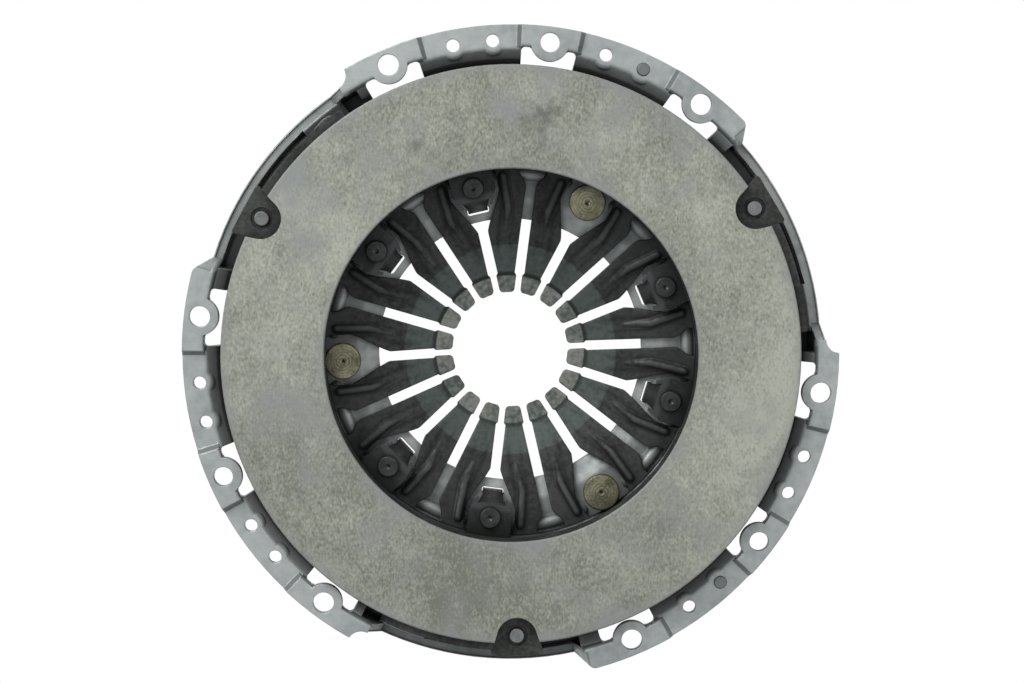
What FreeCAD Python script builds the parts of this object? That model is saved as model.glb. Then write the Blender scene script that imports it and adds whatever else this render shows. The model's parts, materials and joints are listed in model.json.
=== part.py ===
# Clutch pressure plate (clutch cover assembly) for a 240 mm dry clutch, friction side up.
# Units: millimetres. Origin: centre of the bolt circle, on the mounting face of the bolt pads.
# +Z points at the flywheel. Angles are counter-clockwise from +X, seen from the flywheel side.
import FreeCAD
import Part
import math
import os
from FreeCAD import Vector

# Layout: three equal groups of pads with a free rim band between them
GROUPS = 3
GROUP_ANGLE = 82.8
FINGERS = 18

# Driving sizes: the friction face, the ring of spring rivets and the spring's finger tips
FACE_OUTER_R = 121.0
RIVET_RING_R = 71.4
SPRING_TIP_R = 24.5

# Cover sheet and its mounting flange, set out from the wall that clears the pressure plate
SHEET = 4.0
WALL_CLEARANCE = 4.8
WALL_TOP_R = FACE_OUTER_R + WALL_CLEARANCE
BOLT_OFFSET = 5.45
BOLT_CIRCLE_R = WALL_TOP_R + BOLT_OFFSET
BOLT_HOLE_D = 8.8
DOWEL_HOLE_D = 8.1
BOLT_SPACING = 30.0
FLANGE_LAND = 6.55
FLANGE_R = BOLT_CIRCLE_R + FLANGE_LAND
FLANGE_CCW_END = 39.8
FLANGE_CW_END = 38.1
CORNER_SLANT = 2.8
CORNER_HOLLOW_R = 6.0
JOGGLE = 2.5
MIDDLE_BEND = 5.6
OUTER_BEND = 23.3
BEND_SPREAD = 0.45
FLAT_OFFSET = 2.0
FLAT_INNER_R = WALL_TOP_R + FLAT_OFFSET
FLAT_LIP_R = 2.5
CORNER_TIP_R = 3.5
BALANCE_HOLE_D = 5.4
BALANCE_ANGLES = (10.45, 17.75)
BALANCE_LAND_R = 6.2
LAND_BLEND_R = 2.6
FILLED_HOLES = ((0, -17.75), (2, -10.45))

# Cover dish
WALL_LEAN = 0.5
WALL_SHOULDER = 4.0
FLOOR_BEND_R = 5.0
FLOOR_LIP_WIDTH = 8.6
FLOOR_LIP_DROP = 2.9
FLOOR_LIP_BEND_R = 4.0
RIM_TOP = -1.0
RIM_OFFSET = 2.6
RIM_INNER_R = WALL_TOP_R + RIM_OFFSET
RIM_EDGE_R = 1.7
WELL_CCW_REACH = 2.4
WELL_CW_REACH = 1.4
BORE_LAND = 3.4
WINDOW_OFFSET = 0.9
WINDOW_DEPTH = 7.1
WINDOW_OUTER_R = FLAT_INNER_R + WINDOW_OFFSET
WINDOW_INNER_R = WINDOW_OUTER_R - WINDOW_DEPTH
WINDOW_CORNER_R = 1.75
MIDDLE_WINDOW = 5.2
OUTER_WINDOW = 5.5
TONGUE_R = 8.0
LUG_WELL_FRONT = -19.5
ACCESS_HOLE_R = 8.0

# Pressure plate
FACE_Z = 7.0
FACE_INNER_R = 78.0
RING_BACK = -5.0
RIM_BACK = -2.0
RIM_STEP_WIDTH = 12.8
PLATE_RIM_STEP_R = FACE_OUTER_R - RIM_STEP_WIDTH
RIDGE_INSET = 5.2
RIDGE_R = PLATE_RIM_STEP_R - RIDGE_INSET
RIDGE_NOSE_R = 2.4
RIDGE_VENTS = 9
RIDGE_VENT_WIDTH = 14.0
SHOULDER_REACH = 3.6
SHOULDER_R = FACE_OUTER_R + SHOULDER_REACH
SHOULDER_TOP = 3.0
SHOULDER_BACK = -0.5
SHOULDER_SWEEP = 26.6
LUG_ANGLE = 68.25
LUG_RIVET_INSET = 2.4
LUG_RIVET_R = FACE_OUTER_R - LUG_RIVET_INSET
LUG_REACH = 6.1
LUG_OUTER_X = FACE_OUTER_R + LUG_REACH
LUG_FLARE = 17.0
LUG_TOP = 1.5
LUG_BACK = -7.0
POCKET_R = 8.5

# Diaphragm spring, in its free state
SPRING_SHEET = 2.6
SPRING_OVERHANG = 4.0
SPRING_R = RIDGE_R + SPRING_OVERHANG
CONE_DEG = 14.5
RIDGE_CONTACT_Z = -14.0
TIP_PAD_LENGTH = 8.0
TIP_PAD_R = SPRING_TIP_R + TIP_PAD_LENGTH
TIP_PAD_DEG = 3.0
TIP_CORNER_R = 1.8
TIP_SLOT_WIDTH = 2.6
FINGER_SLOT_WIDTH = 4.2
TRUMPET_END_ROOM = 9.1
TRUMPET_END_R = RIVET_RING_R + TRUMPET_END_ROOM
TRUMPET_LENGTH = 10.5
TRUMPET_START_R = TRUMPET_END_R - TRUMPET_LENGTH
TRUMPET_WIDTH = 12.2
OPENING_END_ROOM = 10.1
OPENING_END_R = RIVET_RING_R + OPENING_END_ROOM
OPENING_LENGTH = 13.5
OPENING_FLANK_R = OPENING_END_R - OPENING_LENGTH
OPENING_TAPER = 16.5
OPENING_START_R = OPENING_FLANK_R - OPENING_TAPER
OPENING_WIDTH = 21.4
RIB_LINE = ((-24.9, 8.3), (-10.9, 8.5), (3.1, 12.7))
RIB_R = 2.4
RIB_HEIGHT = 1.1
RIB_END = 1.8
RIB_GROOVE_R = 1.6

# Fulcrum: wire ring in front of the spring, pressed bead in the cover behind it
WIRE_R = 1.5
WIRE_OFFSET = 8.8
WIRE_RING_R = RIVET_RING_R + WIRE_OFFSET
BEAD_INSET = 4.2
BEAD_RING_R = WIRE_RING_R - BEAD_INSET
BEAD_WIDTH = 5.6
BEAD_SINK = 0.11198
BEAD_HALF_SPAN = 11.0
CONTACT_GAP = 0.05
RIDGE_GAP = 0.1

# Spring rivets and their clips
RIVET_SHANK_R = 3.6
SPACER_R = 4.7
MAIN_HEAD_R = 4.6
MAIN_HEAD_HEIGHT = 2.6
STOP_HEAD_R = 7.75
STOP_HEAD_HEIGHT = 3.4
BACK_HEAD_R = 5.6
BACK_HEAD_HEIGHT = 2.3
RIVET_FIT = 0.05
DIMPLE_R = 1.2
CLIP_SHEET = 1.5
CLIP_SHOULDER_WIDTH = 18.8
CLIP_FOOT_WIDTH = 13.4
CLIP_TAIL_WIDTH = 11.6
CLIP_TAIL_END_WIDTH = 8.6
CLIP_SHOULDER_INSET = 1.9
CLIP_SHOULDER_R = RIVET_RING_R - CLIP_SHOULDER_INSET
CLIP_TOE_INSET = 8.2
CLIP_TOE_R = RIVET_RING_R - CLIP_TOE_INSET
CLIP_BEND_INSET = 5.8
CLIP_BEND_R = RIVET_RING_R - CLIP_BEND_INSET
CLIP_TAIL_RUN = 4.7
CLIP_TAIL_R = CLIP_BEND_R - CLIP_TAIL_RUN
CLIP_FOOT_LENGTH = 4.0
CLIP_LIP_DEPTH = 1.8
CLIP_SLOT_END_GAP = 0.9
CLIP_SLOT_SIDE_GAP = 0.4

# Drive straps
STRAP_LEAVES = 3
STRAP_SHEET = 0.9
STRAP_GAP = 0.02
STRAP_WIDTH = 15.0
STRAP_TOP_LUG_END = LUG_BACK
STRAP_TOP_SEAT_END = -12.0
STRAP_JOGGLE_START = 9.5
STRAP_BEND_R = 20.0
SEAT_SWEEP = 22.6
ANCHOR_OFFSET = 0.4
ANCHOR_R = LUG_RIVET_R + ANCHOR_OFFSET
SEAT_LAND = 4.2
SEAT_HALF_WIDTH = 10.2
SEAT_CORNER_R = 4.0
STRAP_RIVET_R = 3.2
ANCHOR_HEAD_R = 5.5
SEAT_INNER_R = ANCHOR_R - ANCHOR_HEAD_R - SEAT_LAND
ANCHOR_HEAD_HEIGHT = 2.2
ANCHOR_TAIL_R = 4.9
LUG_HEAD_R = 6.0
LUG_HEAD_HEIGHT = 2.6
LUG_RIVET_PROUD = 0.8
LUG_SINK_R = 4.6
LUG_SINK_DEPTH = 0.9

# Balance rivets
BALANCE_FIT = 0.05
BALANCE_HEAD_R = 4.5
BALANCE_HEAD_HEIGHT = 3.2
BALANCE_PROUD = 0.5

# Worked out from the sizes above
PITCH = 360.0 / GROUPS
FINGER_PITCH = 360.0 / FINGERS
CLIP_SLOT_INNER_R = CLIP_TAIL_R - CLIP_SLOT_END_GAP
COVER_BORE_R = CLIP_SLOT_INNER_R - BORE_LAND
FLOOR_LIP_R = COVER_BORE_R + FLOOR_LIP_WIDTH
LOW_TOP = -JOGGLE
LOW_BACK = LOW_TOP - SHEET
WALL_OFFSET = SHEET * math.hypot(1.0, WALL_LEAN)
RIM_R = RIM_INNER_R + SHEET
SEAT_TOP = STRAP_TOP_SEAT_END - STRAP_LEAVES * (STRAP_SHEET + STRAP_GAP)
SEAT_BACK = SEAT_TOP - SHEET
SPRING_SLOPE = math.tan(math.radians(CONE_DEG))
SPRING_DROP = SPRING_SHEET / math.cos(math.radians(CONE_DEG))
CLEAR = 30.0


def spring_front(radius):
    """Height of the spring's front surface at a radius on its cone."""
    return RIDGE_CONTACT_Z - (RIDGE_R - radius) * SPRING_SLOPE


WIRE_Z = spring_front(WIRE_RING_R) + (WIRE_R + CONTACT_GAP) * math.hypot(1.0, SPRING_SLOPE)
WIRE_TOP = WIRE_Z + WIRE_R
HEAD_SEAT = WIRE_TOP + CONTACT_GAP
BEAD_Z = (spring_front(BEAD_RING_R) - SPRING_DROP
          - (BEAD_WIDTH / 2 + CONTACT_GAP) * math.hypot(1.0, SPRING_SLOPE))
FLOOR_FRONT = BEAD_Z + BEAD_SINK
FLOOR_BACK = FLOOR_FRONT - SHEET
LIP_FRONT = FLOOR_FRONT - FLOOR_LIP_DROP
LIP_BACK = FLOOR_BACK - FLOOR_LIP_DROP


# Helpers for points, outlines and solids

def at(radius, degrees, z=0.0):
    """Point at a radius and angle about the axis."""
    angle = math.radians(degrees)
    return Vector(radius * math.cos(angle), radius * math.sin(angle), z)


def rounded(points, radii):
    """Closed wire through the corner points, each rounded by its radius or, if negative, bevelled."""
    edges = []
    starts = []
    ends = []
    count = len(points)
    for i in range(count):
        corner = points[i]
        before = points[i - 1] - corner
        after = points[(i + 1) % count] - corner
        before.normalize()
        after.normalize()
        if radii[i] <= 0:
            starts.append(corner - before * radii[i])
            ends.append(corner - after * radii[i])
            edges.append(Part.LineSegment(starts[i], ends[i]).toShape() if radii[i] < 0 else None)
            continue
        half = before.getAngle(after) / 2
        reach = radii[i] / math.tan(half)
        middle = before + after
        middle.normalize()
        depth = radii[i] / math.sin(half) - radii[i]
        starts.append(corner + before * reach)
        ends.append(corner + after * reach)
        edges.append(Part.Arc(starts[i], corner + middle * depth, ends[i]).toShape())
    wire = []
    for i in range(count):
        if edges[i] is not None:
            wire.append(edges[i])
        following = (i + 1) % count
        if ends[i].distanceToPoint(starts[following]) > 1e-6:
            wire.append(Part.LineSegment(ends[i], starts[following]).toShape())
    return Part.Wire(wire)


def section(corners):
    """Face in the XZ half plane from (radius, z, corner radius) rows."""
    points = [Vector(c[0], 0, c[1]) for c in corners]
    radii = [c[2] if len(c) > 2 else 0.0 for c in corners]
    return Part.Face(rounded(points, radii))


def turned(corners, sweep=360.0, start=0.0):
    """Solid of revolution of a section about Z, over a sweep from a start angle."""
    face = section(corners)
    face.rotate(Vector(), Vector(0, 0, 1), start)
    return face.revolve(Vector(), Vector(0, 0, 1), sweep)


def plate_of(corners, z0, z1):
    """Solid between two heights over a plan outline of (x, y, corner radius) rows."""
    points = [Vector(c[0], c[1], z0) for c in corners]
    radii = [c[2] if len(c) > 2 else 0.0 for c in corners]
    return Part.Face(rounded(points, radii)).extrude(Vector(0, 0, z1 - z0))


def disc(radius, z0, z1, centre=Vector()):
    """Upright cylinder between two heights."""
    return Part.makeCylinder(radius, z1 - z0, Vector(centre.x, centre.y, z0))


def sector(r0, r1, a0, a1, z0, z1):
    """Ring sector between two heights."""
    ring = turned([(r0, z0), (r1, z0), (r1, z1), (r0, z1)], a1 - a0, a0)
    return ring


def turn(shape, degrees):
    """Copy of a shape turned about Z."""
    copy = shape.copy()
    copy.rotate(Vector(), Vector(0, 0, 1), degrees)
    return copy


def around(shape, count, first=0.0):
    """Copies of a shape at equal steps about Z."""
    return [turn(shape, first + i * 360.0 / count) for i in range(count)]


def joined(shapes):
    """One shape from several that overlap."""
    shapes = list(shapes)
    return shapes[0].fuse(shapes[1:]).removeSplitter() if len(shapes) > 1 else shapes[0]


def offset_line(points, distance):
    """Open line of (x, z) points moved sideways by a distance, with mitred corners."""
    moved = []
    for i, point in enumerate(points):
        before = points[max(i - 1, 0)]
        after = points[min(i + 1, len(points) - 1)]
        normals = []
        for first, second in ((before, point), (point, after)):
            dx = second[0] - first[0]
            dz = second[1] - first[1]
            length = math.hypot(dx, dz)
            if length > 0:
                normals.append((-dz / length, dx / length))
        nx = sum(n[0] for n in normals) / len(normals)
        nz = sum(n[1] for n in normals) / len(normals)
        scale = distance / (nx * nx + nz * nz)
        moved.append((point[0] + nx * scale, point[1] + nz * scale))
    return moved


def across(corners, half_width):
    """Prism of a section in the XZ plane, centred on it, along Y."""
    face = section(corners)
    face.translate(Vector(0, -half_width, 0))
    return face.extrude(Vector(0, 2 * half_width, 0))


def save(node, shape):
    """Write one node and report it."""
    shape.exportStep(os.path.join("parts", node + ".step"))
    box = shape.BoundBox
    print("%-24s solids %d valid %s volume %.0f z %.2f..%.2f" % (
        node, len(shape.Solids), shape.isValid(), shape.Volume, box.ZMin, box.ZMax))


# Cover

def dish():
    """Conical dish with wells in the rim gaps, as an outer form less an inner form."""
    lean = WALL_LEAN
    top = LOW_TOP
    inner_low_r = WALL_TOP_R - lean * (top - FLOOR_FRONT)
    outer_low_r = WALL_TOP_R + WALL_OFFSET - lean * (top - FLOOR_BACK)
    outer = turned([(0, LIP_BACK), (COVER_BORE_R, LIP_BACK), (FLOOR_LIP_R, FLOOR_BACK, FLOOR_LIP_BEND_R),
                    (outer_low_r, FLOOR_BACK, FLOOR_BEND_R + SHEET),
                    (WALL_TOP_R + WALL_OFFSET, top), (0, top)])
    inner = turned([(0, LIP_FRONT), (COVER_BORE_R, LIP_FRONT), (FLOOR_LIP_R, FLOOR_FRONT, FLOOR_LIP_BEND_R),
                    (inner_low_r, FLOOR_FRONT, FLOOR_BEND_R),
                    (WALL_TOP_R - lean * WALL_SHOULDER, top - WALL_SHOULDER, 3.0),
                    (FLAT_INNER_R, top, FLAT_LIP_R), (FLAT_INNER_R + SHEET, top), (FLAT_INNER_R + SHEET, CLEAR),
                    (0, CLEAR)])
    gap_start = FLANGE_CCW_END - WELL_CCW_REACH
    gap_sweep = (PITCH - FLANGE_CCW_END - FLANGE_CW_END - CORNER_SLANT) + WELL_CCW_REACH + WELL_CW_REACH
    wall_turn = 0.75 * math.degrees(SHEET / RIM_INNER_R)
    well_back = LUG_WELL_FRONT - SHEET
    inside_r = inner_low_r - CLEAR
    outer_gap = turned([(inside_r, well_back), (RIM_R, well_back, FLOOR_BEND_R + 1),
                        (RIM_R, RIM_TOP, RIM_EDGE_R), (inside_r, RIM_TOP)],
                       gap_sweep + 2 * wall_turn, gap_start - wall_turn)
    inner_gap = turned([(inside_r, LUG_WELL_FRONT), (RIM_INNER_R, LUG_WELL_FRONT, 2.0),
                        (RIM_INNER_R, RIM_TOP, RIM_EDGE_R), (RIM_R + SHEET, RIM_TOP), (RIM_R + SHEET, CLEAR),
                        (inside_r, CLEAR)], gap_sweep, gap_start)
    outer = joined([outer] + around(outer_gap, GROUPS, GROUP_ANGLE))
    inner = joined([inner] + around(inner_gap, GROUPS, GROUP_ANGLE))
    side = SEAT_HALF_WIDTH
    seat = plate_of([(SEAT_INNER_R, -side, SEAT_CORNER_R), (RIM_R + CLEAR, -side),
                     (RIM_R + CLEAR, side), (SEAT_INNER_R, side, SEAT_CORNER_R)],
                    FLOOR_BACK - CLEAR, SEAT_TOP)
    side = SEAT_HALF_WIDTH - SHEET
    hollow_r = SEAT_INNER_R + 0.8 * SHEET
    hollow = plate_of([(hollow_r, -side, 2.0), (RIM_R + CLEAR, -side),
                       (RIM_R + CLEAR, side), (hollow_r, side, 2.0)],
                      FLOOR_BACK - CLEAR, SEAT_BACK)
    seats = around(seat, GROUPS, GROUP_ANGLE + LUG_ANGLE - SEAT_SWEEP)
    hollows = around(hollow, GROUPS, GROUP_ANGLE + LUG_ANGLE - SEAT_SWEEP)
    return outer.cut(inner.cut(seats)).cut(hollows)


def flange_outline(z0, z1):
    """Plan outline of one group of the flange, about the +X axis."""
    hollow_angle = FLANGE_CCW_END
    corner_r = RIM_R + CORNER_HOLLOW_R
    ring = sector(WINDOW_INNER_R, FLANGE_R, -FLANGE_CW_END - CORNER_SLANT, hollow_angle, z0, z1)
    scoop = disc(CORNER_HOLLOW_R, z0, z1, at(corner_r, hollow_angle))
    cut = [at(RIM_R - 2, -FLANGE_CW_END - CORNER_SLANT * 1.3, z0), at(FLANGE_R, -FLANGE_CW_END, z0),
           at(FLANGE_R + 5, -FLANGE_CW_END, z0), at(FLANGE_R + 5, -FLANGE_CW_END - 6, z0),
           at(RIM_R - 2, -FLANGE_CW_END - 6, z0)]
    slant = plate_of([(p.x, p.y) for p in cut], z0, z1)
    outline = ring.cut([scoop, slant])
    tip = at(FLANGE_R, -FLANGE_CW_END)
    corner = [e for e in outline.Edges if math.hypot(e.CenterOfMass.x - tip.x, e.CenterOfMass.y - tip.y) < 0.3]
    return outline.makeFillet(CORNER_TIP_R, corner)


def flange_group():
    """Bolt pads, recessed stretches and the joggles between them, about the +X axis."""
    reach = FLANGE_R + 2
    spread = BEND_SPREAD
    bends = (-OUTER_BEND, -MIDDLE_BEND, MIDDLE_BEND, OUTER_BEND)
    spans = ((-FLANGE_CW_END - 6, bends[0] - spread), (bends[1] + spread, bends[2] - spread),
             (bends[3] + spread, FLANGE_CCW_END + 6))
    pieces = []
    for low, high in spans:
        pieces.append(turned([(FLAT_INNER_R, -SHEET), (reach, -SHEET), (reach, 0), (FLAT_INNER_R, 0, FLAT_LIP_R)],
                             high - low, low))
    for angle in (-BOLT_SPACING, 0.0, BOLT_SPACING):
        pieces.append(disc(TONGUE_R, -SHEET, 0, at(BOLT_CIRCLE_R, angle)))
    for sign in (-1, 1):
        pieces.append(recessed_stretch(sign, reach))
    joggle_r = FLAT_INNER_R + 0.3 * FLAT_LIP_R
    for bend, side in zip(bends, (1, -1, 1, -1)):
        ends = []
        for angle, top in ((bend - side * spread, 0.0), (bend + side * spread, LOW_TOP)):
            corners = [at(joggle_r, angle, top), at(reach, angle, top),
                       at(reach, angle, top - SHEET), at(joggle_r, angle, top - SHEET)]
            ends.append(Part.makePolygon(corners + corners[:1]))
        pieces.append(Part.makeLoft(ends, True, True))
    return joined(pieces).common(flange_outline(LOW_BACK - 1, 1.0))


def recessed_stretch(side, reach):
    """Flat between two pads, its inner edge scalloped round the balance holes and bent over."""
    low, high = sorted((side * (MIDDLE_BEND + BEND_SPREAD), side * (OUTER_BEND - BEND_SPREAD)))
    flat = sector(FLAT_INNER_R, reach, low, high, LOW_BACK, LOW_TOP)
    lands = [disc(BALANCE_LAND_R, LOW_BACK, LOW_TOP, at(BOLT_CIRCLE_R, side * a)) for a in BALANCE_ANGLES]
    flat = joined([flat] + lands)
    inside = FLAT_INNER_R + 0.2
    creases = [e for e in flat.Edges if e.BoundBox.ZLength > SHEET - 0.1 and e.BoundBox.XLength < 0.1
               and math.hypot(e.BoundBox.Center.x, e.BoundBox.Center.y) < inside
               and low + 0.5 < math.degrees(math.atan2(e.BoundBox.Center.y, e.BoundBox.Center.x)) < high - 0.5]
    flat = flat.makeFillet(LAND_BLEND_R, creases)
    lip = [e for e in flat.Edges if e.BoundBox.ZMin > LOW_TOP - 0.01 and e.BoundBox.ZMax < LOW_TOP + 0.01
           and all(math.hypot(v.X, v.Y) < inside for v in e.Vertexes)]
    return flat.makeFillet(FLAT_LIP_R, lip)


def windows():
    """See-through windows behind the three pads of a group, with the pad tongues left."""
    tools = []
    for angle, half in ((-BOLT_SPACING, OUTER_WINDOW), (0.0, MIDDLE_WINDOW), (BOLT_SPACING, OUTER_WINDOW)):
        centre = at(BOLT_CIRCLE_R, angle)
        opening = sector(WINDOW_INNER_R, WINDOW_OUTER_R, angle - half, angle + half, LIP_BACK, 1.0)
        opening = opening.cut(disc(TONGUE_R, LIP_BACK - 1, 2.0, centre))
        corners = [e for e in opening.Edges if e.BoundBox.ZLength > SHEET
                   and math.hypot(e.CenterOfMass.x, e.CenterOfMass.y) > WINDOW_OUTER_R - 0.1]
        opening = opening.makeFillet(WINDOW_CORNER_R, corners)
        behind = sector(WINDOW_INNER_R, BOLT_CIRCLE_R, angle - half, angle + half, LIP_BACK, -SHEET)
        tools += [opening, behind.common(disc(TONGUE_R + 0.2, LIP_BACK, -SHEET, centre))]
    return tools


def cover():
    """Stamped cover: dish, flange groups, windows, holes, fulcrum bead and clip slots."""
    body = joined([dish()] + around(flange_group(), GROUPS, GROUP_ANGLE))
    cuts = []
    for tool in windows():
        cuts += around(tool, GROUPS, GROUP_ANGLE)
    low, high = LIP_BACK - 1, 1.0
    for angle, size in ((-BOLT_SPACING, BOLT_HOLE_D), (0, DOWEL_HOLE_D), (BOLT_SPACING, BOLT_HOLE_D)):
        cuts += around(disc(size / 2, low, high, at(BOLT_CIRCLE_R, angle)), GROUPS, GROUP_ANGLE)
    for sign in (-1, 1):
        for angle in BALANCE_ANGLES:
            centre = at(BOLT_CIRCLE_R, sign * angle)
            cuts += around(disc(BALANCE_HOLE_D / 2, low, high, centre), GROUPS, GROUP_ANGLE)
            cuts += around(disc(BALANCE_HEAD_R + 0.3, low, LOW_BACK, centre), GROUPS, GROUP_ANGLE)
    cuts.append(disc(COVER_BORE_R, low, 0))
    rivet_hole = disc(RIVET_SHANK_R + RIVET_FIT, low, FLOOR_FRONT + 1, at(RIVET_RING_R, 0))
    cuts += around(rivet_hole, FINGERS // 2, GROUP_ANGLE + FINGER_PITCH)
    half = CLIP_TAIL_END_WIDTH / 2 + CLIP_SLOT_SIDE_GAP
    slot_end = CLIP_TAIL_R + CLIP_SHEET + CLIP_SLOT_SIDE_GAP
    slot = plate_of([(CLIP_SLOT_INNER_R, -half, 1), (slot_end, -half, 1), (slot_end, half, 1),
                     (CLIP_SLOT_INNER_R, half, 1)], low, FLOOR_FRONT + 1)
    cuts += [turn(slot, angle) for angle in clip_angles()]
    access = disc(ACCESS_HOLE_R, low, LUG_WELL_FRONT + 6, at(LUG_RIVET_R, LUG_ANGLE))
    cuts += around(access, GROUPS, GROUP_ANGLE)
    anchor_hole = disc(STRAP_RIVET_R + RIVET_FIT, low, SEAT_TOP + 1, at(ANCHOR_R, LUG_ANGLE - SEAT_SWEEP))
    cuts += around(anchor_hole, GROUPS, GROUP_ANGLE)
    body = body.cut(cuts)
    bead, groove = bead_forms()
    body = body.fuse(around(bead, FINGERS // 2, GROUP_ANGLE))
    return body.cut(around(groove, FINGERS // 2, GROUP_ANGLE))


def bead_forms():
    """Rear fulcrum bead in front of the cover floor and the groove behind it."""
    radius = BEAD_WIDTH / 2
    span = 2 * BEAD_HALF_SPAN
    forms = []
    for size, z in ((radius, BEAD_Z), (0.7 * radius, FLOOR_BACK)):
        ring = Part.Face(Part.Wire(Part.makeCircle(size, Vector(BEAD_RING_R, 0, z), Vector(0, 1, 0))))
        ring.rotate(Vector(), Vector(0, 0, 1), -BEAD_HALF_SPAN)
        bar = ring.revolve(Vector(), Vector(0, 0, 1), span)
        ends = [Part.makeSphere(size, at(BEAD_RING_R, a, z)) for a in (-BEAD_HALF_SPAN, BEAD_HALF_SPAN)]
        forms.append(bar.fuse(ends))
    floor = disc(FACE_OUTER_R, FLOOR_FRONT - 1, 0)
    return forms[0].common(floor), forms[1]


# Pressure plate

def lug_outline(outer_x, corner, z0, z1):
    """Round nose about the lug rivet with flanks that spread outwards, on the +X axis."""
    flare = math.radians(LUG_FLARE)
    start_x = LUG_RIVET_R - POCKET_R * math.sin(flare)
    start_y = POCKET_R * math.cos(flare)
    outer_y = start_y + (outer_x - start_x) * math.tan(flare)
    flanks = plate_of([(start_x, -start_y), (outer_x, -outer_y, corner), (outer_x, outer_y, corner),
                       (start_x, start_y)], z0, z1)
    return joined([disc(POCKET_R, z0, z1, at(LUG_RIVET_R, 0)), flanks])


def pressure_plate():
    """Cast ring: friction face, fulcrum ridge, shoulders and three lugs in pockets."""
    lean = math.radians(CONE_DEG)
    nose = RIDGE_NOSE_R
    nose_r = RIDGE_R - nose * math.sin(lean)
    nose_low = RIDGE_CONTACT_Z + (nose + RIDGE_GAP) * math.cos(lean) - nose
    ring = turned([
        (FACE_INNER_R, FACE_Z, -0.5), (FACE_OUTER_R, FACE_Z, -0.5), (FACE_OUTER_R, RIM_BACK, -0.7),
        (PLATE_RIM_STEP_R, RIM_BACK), (nose_r + nose, nose_low + 1.4 * nose),
        (nose_r + nose, nose_low, nose - 0.01), (nose_r - nose, nose_low, nose - 0.01),
        (nose_r - nose - 1.5, RING_BACK), (FACE_INNER_R, RING_BACK, -0.7)])
    shoulder = sector(FACE_OUTER_R - 4, SHOULDER_R, LUG_ANGLE - SHOULDER_SWEEP, LUG_ANGLE, SHOULDER_BACK,
                      SHOULDER_TOP)
    corners = [e for e in shoulder.Edges if e.BoundBox.ZLength > 1 and e.BoundBox.Center.Length > FACE_OUTER_R]
    shoulder = shoulder.makeFillet(1.6, [e for e in corners if e.BoundBox.Center.x > 0][:1])
    lug = lug_outline(LUG_OUTER_X, 1.2, LUG_BACK, LUG_TOP)
    pocket = lug_outline(LUG_OUTER_X + SHEET, 0.0, LUG_TOP, FACE_Z + 1)
    body = joined([ring] + around(shoulder, GROUPS, GROUP_ANGLE) + around(lug, GROUPS, GROUP_ANGLE + LUG_ANGLE))
    centre = at(LUG_RIVET_R, LUG_ANGLE)
    hole = disc(STRAP_RIVET_R + RIVET_FIT, LUG_BACK - 1, LUG_TOP + 1, centre)
    sink = disc(LUG_SINK_R, LUG_TOP - LUG_SINK_DEPTH, LUG_TOP + 1, centre)
    vent = Part.makeBox(CLEAR, RIDGE_VENT_WIDTH, CLEAR, Vector(PLATE_RIM_STEP_R - CLEAR, -RIDGE_VENT_WIDTH / 2,
                                                               RING_BACK - 3.0 - CLEAR))
    cuts = around(pocket, GROUPS, GROUP_ANGLE + LUG_ANGLE)
    cuts += around(hole, GROUPS, GROUP_ANGLE) + around(sink, GROUPS, GROUP_ANGLE)
    cuts += around(vent, RIDGE_VENTS, GROUP_ANGLE)
    return body.cut(cuts)


def lug_rivet():
    """Rivet through a lug and the strap pack, on the +X axis."""
    pack_back = STRAP_TOP_LUG_END - STRAP_LEAVES * (STRAP_SHEET + STRAP_GAP)
    head_back = pack_back - LUG_HEAD_HEIGHT
    rivet = turned([(0, head_back), (LUG_HEAD_R - 1.2, head_back), (LUG_HEAD_R, pack_back, -0.3),
                    (STRAP_RIVET_R, pack_back), (STRAP_RIVET_R, LUG_TOP + LUG_RIVET_PROUD, -0.4),
                    (0, LUG_TOP + LUG_RIVET_PROUD)])
    rivet.translate(Vector(LUG_RIVET_R, 0, 0))
    return rivet


# Drive straps

def strap_leaf(level):
    """One leaf of a strap pack between its lug and its seat, for the first group."""
    lug_point = at(LUG_RIVET_R, GROUP_ANGLE + LUG_ANGLE)
    seat_point = at(ANCHOR_R, GROUP_ANGLE + LUG_ANGLE - SEAT_SWEEP)
    run = seat_point - lug_point
    length = run.Length
    drop = level * (STRAP_SHEET + STRAP_GAP)
    end = STRAP_WIDTH / 2
    line = [(-end, STRAP_TOP_LUG_END - drop), (STRAP_JOGGLE_START, STRAP_TOP_LUG_END - drop),
            (length - STRAP_JOGGLE_START, STRAP_TOP_SEAT_END - drop),
            (length + end, STRAP_TOP_SEAT_END - drop)]
    bends = (0.0, STRAP_BEND_R, STRAP_BEND_R, 0.0)
    rows = [(x, z, r) for (x, z), r in zip(line, bends)]
    rows += [(x, z - STRAP_SHEET, r) for (x, z), r in zip(reversed(line), bends)]
    leaf = across(rows, end)
    low_z, high_z = STRAP_TOP_SEAT_END - 10, STRAP_TOP_LUG_END + 1
    plan = plate_of([(-end, -end, end - 0.01), (length + end, -end, end - 0.01),
                     (length + end, end, end - 0.01), (-end, end, end - 0.01)], low_z, high_z)
    leaf = leaf.common(plan)
    holes = [disc(STRAP_RIVET_R + RIVET_FIT, low_z, high_z, Vector(x, 0, 0)) for x in (0, length)]
    leaf = leaf.cut(holes)
    leaf.rotate(Vector(), Vector(0, 0, 1), math.degrees(math.atan2(run.y, run.x)))
    leaf.translate(lug_point)
    return leaf


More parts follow.
